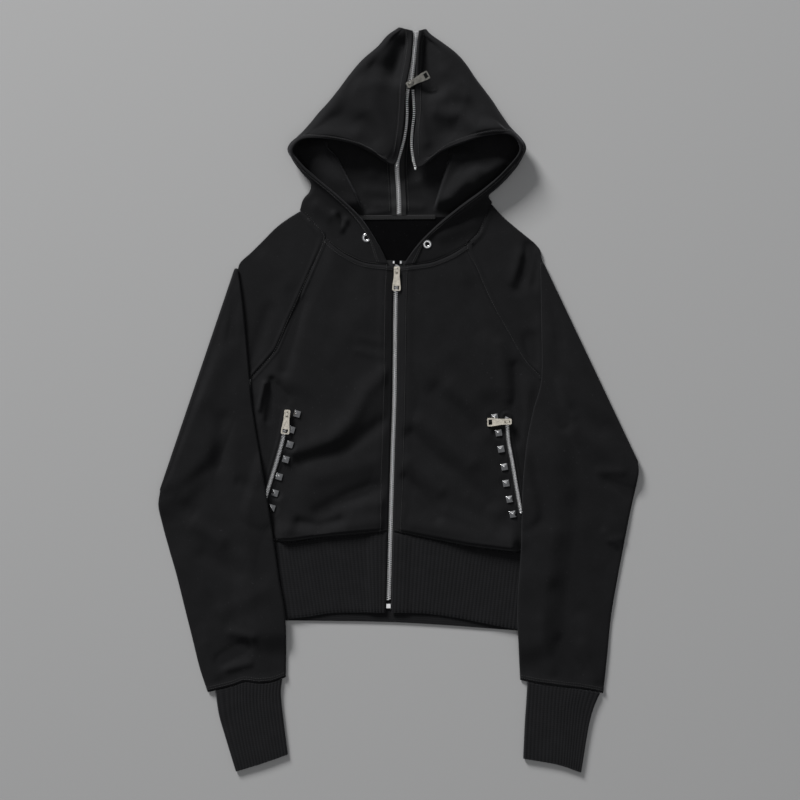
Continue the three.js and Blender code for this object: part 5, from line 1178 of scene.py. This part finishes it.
# Hood zip
# It runs from the neck up the inside of the back, over the crown, and down the front of the hood to its
# mouth. It is open from the mouth to the slider, so its two sides of teeth lie apart there.
HOOD_TAPE_IN = HOOD_HEM / 2 + PIECE_GAP + TAPE / 2
HOOD_ZIP_TOP = [(15.9, 421, 16), (17.6, 437, 15.1), (19.8, 456, 14), (22, 482, 12.5), (23, 495, 10.6)]
HOOD_ZIP_OPEN = {
    "right": [(-2.5, 315.9, 17), (2.5, 332.8, 17), (7.1, 349.7, 17), (10.2, 368.6, 17), (11.3, 386.8, 17),
              (10.9, 400, 16.6), (12.6, 416, 16.2)],
    "left": [(21.8, 311.9, 17), (18.4, 326, 17), (16.6, 344.2, 17), (17.8, 364.5, 17), (19.7, 380, 17),
             (20.1, 391.5, 16.9), (18.6, 415.8, 16.2)],
}
for side in SIDES:
    grid, normal = hood_mid[side], hood_normal[side]
    rows_in = range(4, len(grid) - 5, 2)
    runs = [(grid[i, 0], grid[i, 6] - grid[i, 0], normal[i, 3]) for i in rows_in]
    runs += [(grid[i, -1], grid[i, -7] - grid[i, -1], normal[i, -4])
             for i in reversed(rows_in) if i >= MOUTH_ROW]
    edge, run, out = (np.array(part) for part in zip(*runs))
    run /= np.linalg.norm(run, axis=-1, keepdims=True)
    reach = np.linspace(-0.9, 5.4, 7)
    base = edge[:, None] + reach[None, :, None] * run[:, None] - out[:, None] * HOOD_TAPE_IN
    tape_object(f"hood_tape_{side}", base + out[:, None] * TAPE / 2, base - out[:, None] * TAPE / 2,
                [f"hood_zip_tape_{side}"])
low_line = [(0, 252, FLEECE / 2 + HOOD_TAPE_IN)]
low_line += [(row[0], row[1], FLEECE / 2 + HOOD_TAPE_IN) for row in HOOD_ROWS["right"][2:-1]]
low_line += [(23.2, 497, FLEECE / 2 + HOOD_TAPE_IN + 2)]
high_line = [(x, y, z - HOOD_TAPE_IN) for x, y, z in HOOD_ZIP_TOP]
teeth("hood_teeth", [spline(low_line, np.linspace(0, 1, 160)), spline(high_line, np.linspace(0, 1, 60))],
      ["hood_zip_chain"])
for side, way, first in (("right", 0.9, 0.0), ("left", -0.9, math.pi)):
    line = spline(HOOD_ZIP_OPEN[side], np.linspace(0, 1, 80)) + (way, 0, -HOOD_TAPE_IN)
    teeth(f"hood_open_teeth_{side}", [line], [f"hood_zip_teeth_{side}"], Pitch=2 * TOOTH_PITCH, First=first,
          Alternate=0.0)
hardware(["hood_zip_slider", "hood_zip_pull"], metal_finish("pull_tarnished", (0.34, 0.33, 0.3), 0.3, 0.5))
STOP_PROFILE = [(0.02, -0.9), (1.1, -0.9), (1.6, -0.4), (1.6, 0.5), (1.1, 1), (0.02, 1)]


def end_stop(name, spot):
    """Small metal stop, pressed on at the end of a row of teeth."""
    stop = lathe(name, STOP_PROFILE, 20, np.array(spot), np.array([0, 0, 1.0]))
    stop.data.materials.append(ZIP_FINISH)
    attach(stop, "garment")


end_stop("hood_zip_end_right", (-3.1, 314.2, 15.2))
end_stop("hood_zip_end_left", (21.9, 310.2, 15.2))

# Pocket zips
# A finer zip lies in each slanting welt, sewn in flat, closed, with its slider at the top.
POCKET_TAPE_HALF = 3.7
POCKET_CHAIN_HEIGHT = 1.6
ON_CLOTH = 0.35
for side in SIDES:
    route = spline(POCKET_ZIP[side], np.linspace(1, 0, 60))
    seats = [front_top(route + (dx, 0)) for dx in (-POCKET_TAPE_HALF, 0, POCKET_TAPE_HALF)]
    seat = np.max(seats, axis=0) + ON_CLOTH
    top, bottom = strip(with_height(route, seat + TAPE / 2), -POCKET_TAPE_HALF, POCKET_TAPE_HALF, TAPE)
    tape_object(f"pocket_tape_{side}", top, bottom, [f"pocket_zip_tape_{side}"])
    line = with_height(route, seat + TAPE + PIECE_GAP + POCKET_CHAIN_HEIGHT / 2)
    teeth(f"pocket_teeth_{side}", [line], [f"pocket_zip_chain_{side}"], Pitch=0.83 * TOOTH_PITCH, Scale=0.8)
    hardware([f"pocket_zip_{side}_slider", f"pocket_zip_{side}_pull"], PULL_FINISH)
    end_stop(f"pocket_zip_end_{side}", line[0] + (0, -0.6, 0.1))

# Studs
# Square pyramid studs in polished nickel, prong-set in a line along the front edge of each pocket.
hardware([f"stud_{side}_{i + 1}" for side in SIDES for i in range(7)], STUD_FINISH, 0.3)

# The surface it lies on, daylight from above the hood, and the camera straight overhead
# A plain pale floor stands for what the garment lies on.
floor_mesh = bpy.data.meshes.new("floor")
floor_mesh.from_pydata([(x, y, -0.0002) for x, y in ((-6, -6), (6, -6), (6, 6), (-6, 6))], [], [(0, 1, 2, 3)])
floor = bpy.data.objects.new("floor", floor_mesh)
floor_finish = Finish("floor", Base_Color=(0.42, 0.42, 0.42, 1), Roughness=0.9)
floor_mesh.materials.append(floor_finish.material)
bpy.context.scene.collection.objects.link(floor)

world = bpy.data.worlds.new("daylight")
world.use_nodes = True
world.node_tree.nodes["Background"].inputs["Color"].default_value = (0.95, 0.97, 1, 1)
world.node_tree.nodes["Background"].inputs["Strength"].default_value = 0.16
bpy.context.scene.world = world


def area_light(name, place, energy, size):
    data = bpy.data.lights.new(name, "AREA")
    data.energy = energy
    data.size = size
    lamp = bpy.data.objects.new(name, data)
    lamp.location = place
    lamp.rotation_euler = (-Vector(place)).to_track_quat("-Z", "Y").to_euler()
    bpy.context.scene.collection.objects.link(lamp)


area_light("window", (-3.3, 5.6, 2.9), 640, 2.0)
area_light("ceiling", (0.3, -0.5, 3.2), 16, 2.6)

CAMERA_HEIGHT = 2.6
FIELD = 1.08
camera_data = bpy.data.cameras.new("camera")
camera_data.sensor_width = 36
camera_data.lens = 36 * CAMERA_HEIGHT / FIELD
camera = bpy.data.objects.new("camera", camera_data)
camera.location = (0.002, 0.0003, CAMERA_HEIGHT)
bpy.context.scene.collection.objects.link(camera)
bpy.context.scene.camera = camera
bpy.context.scene.view_settings.view_transform = "Standard"
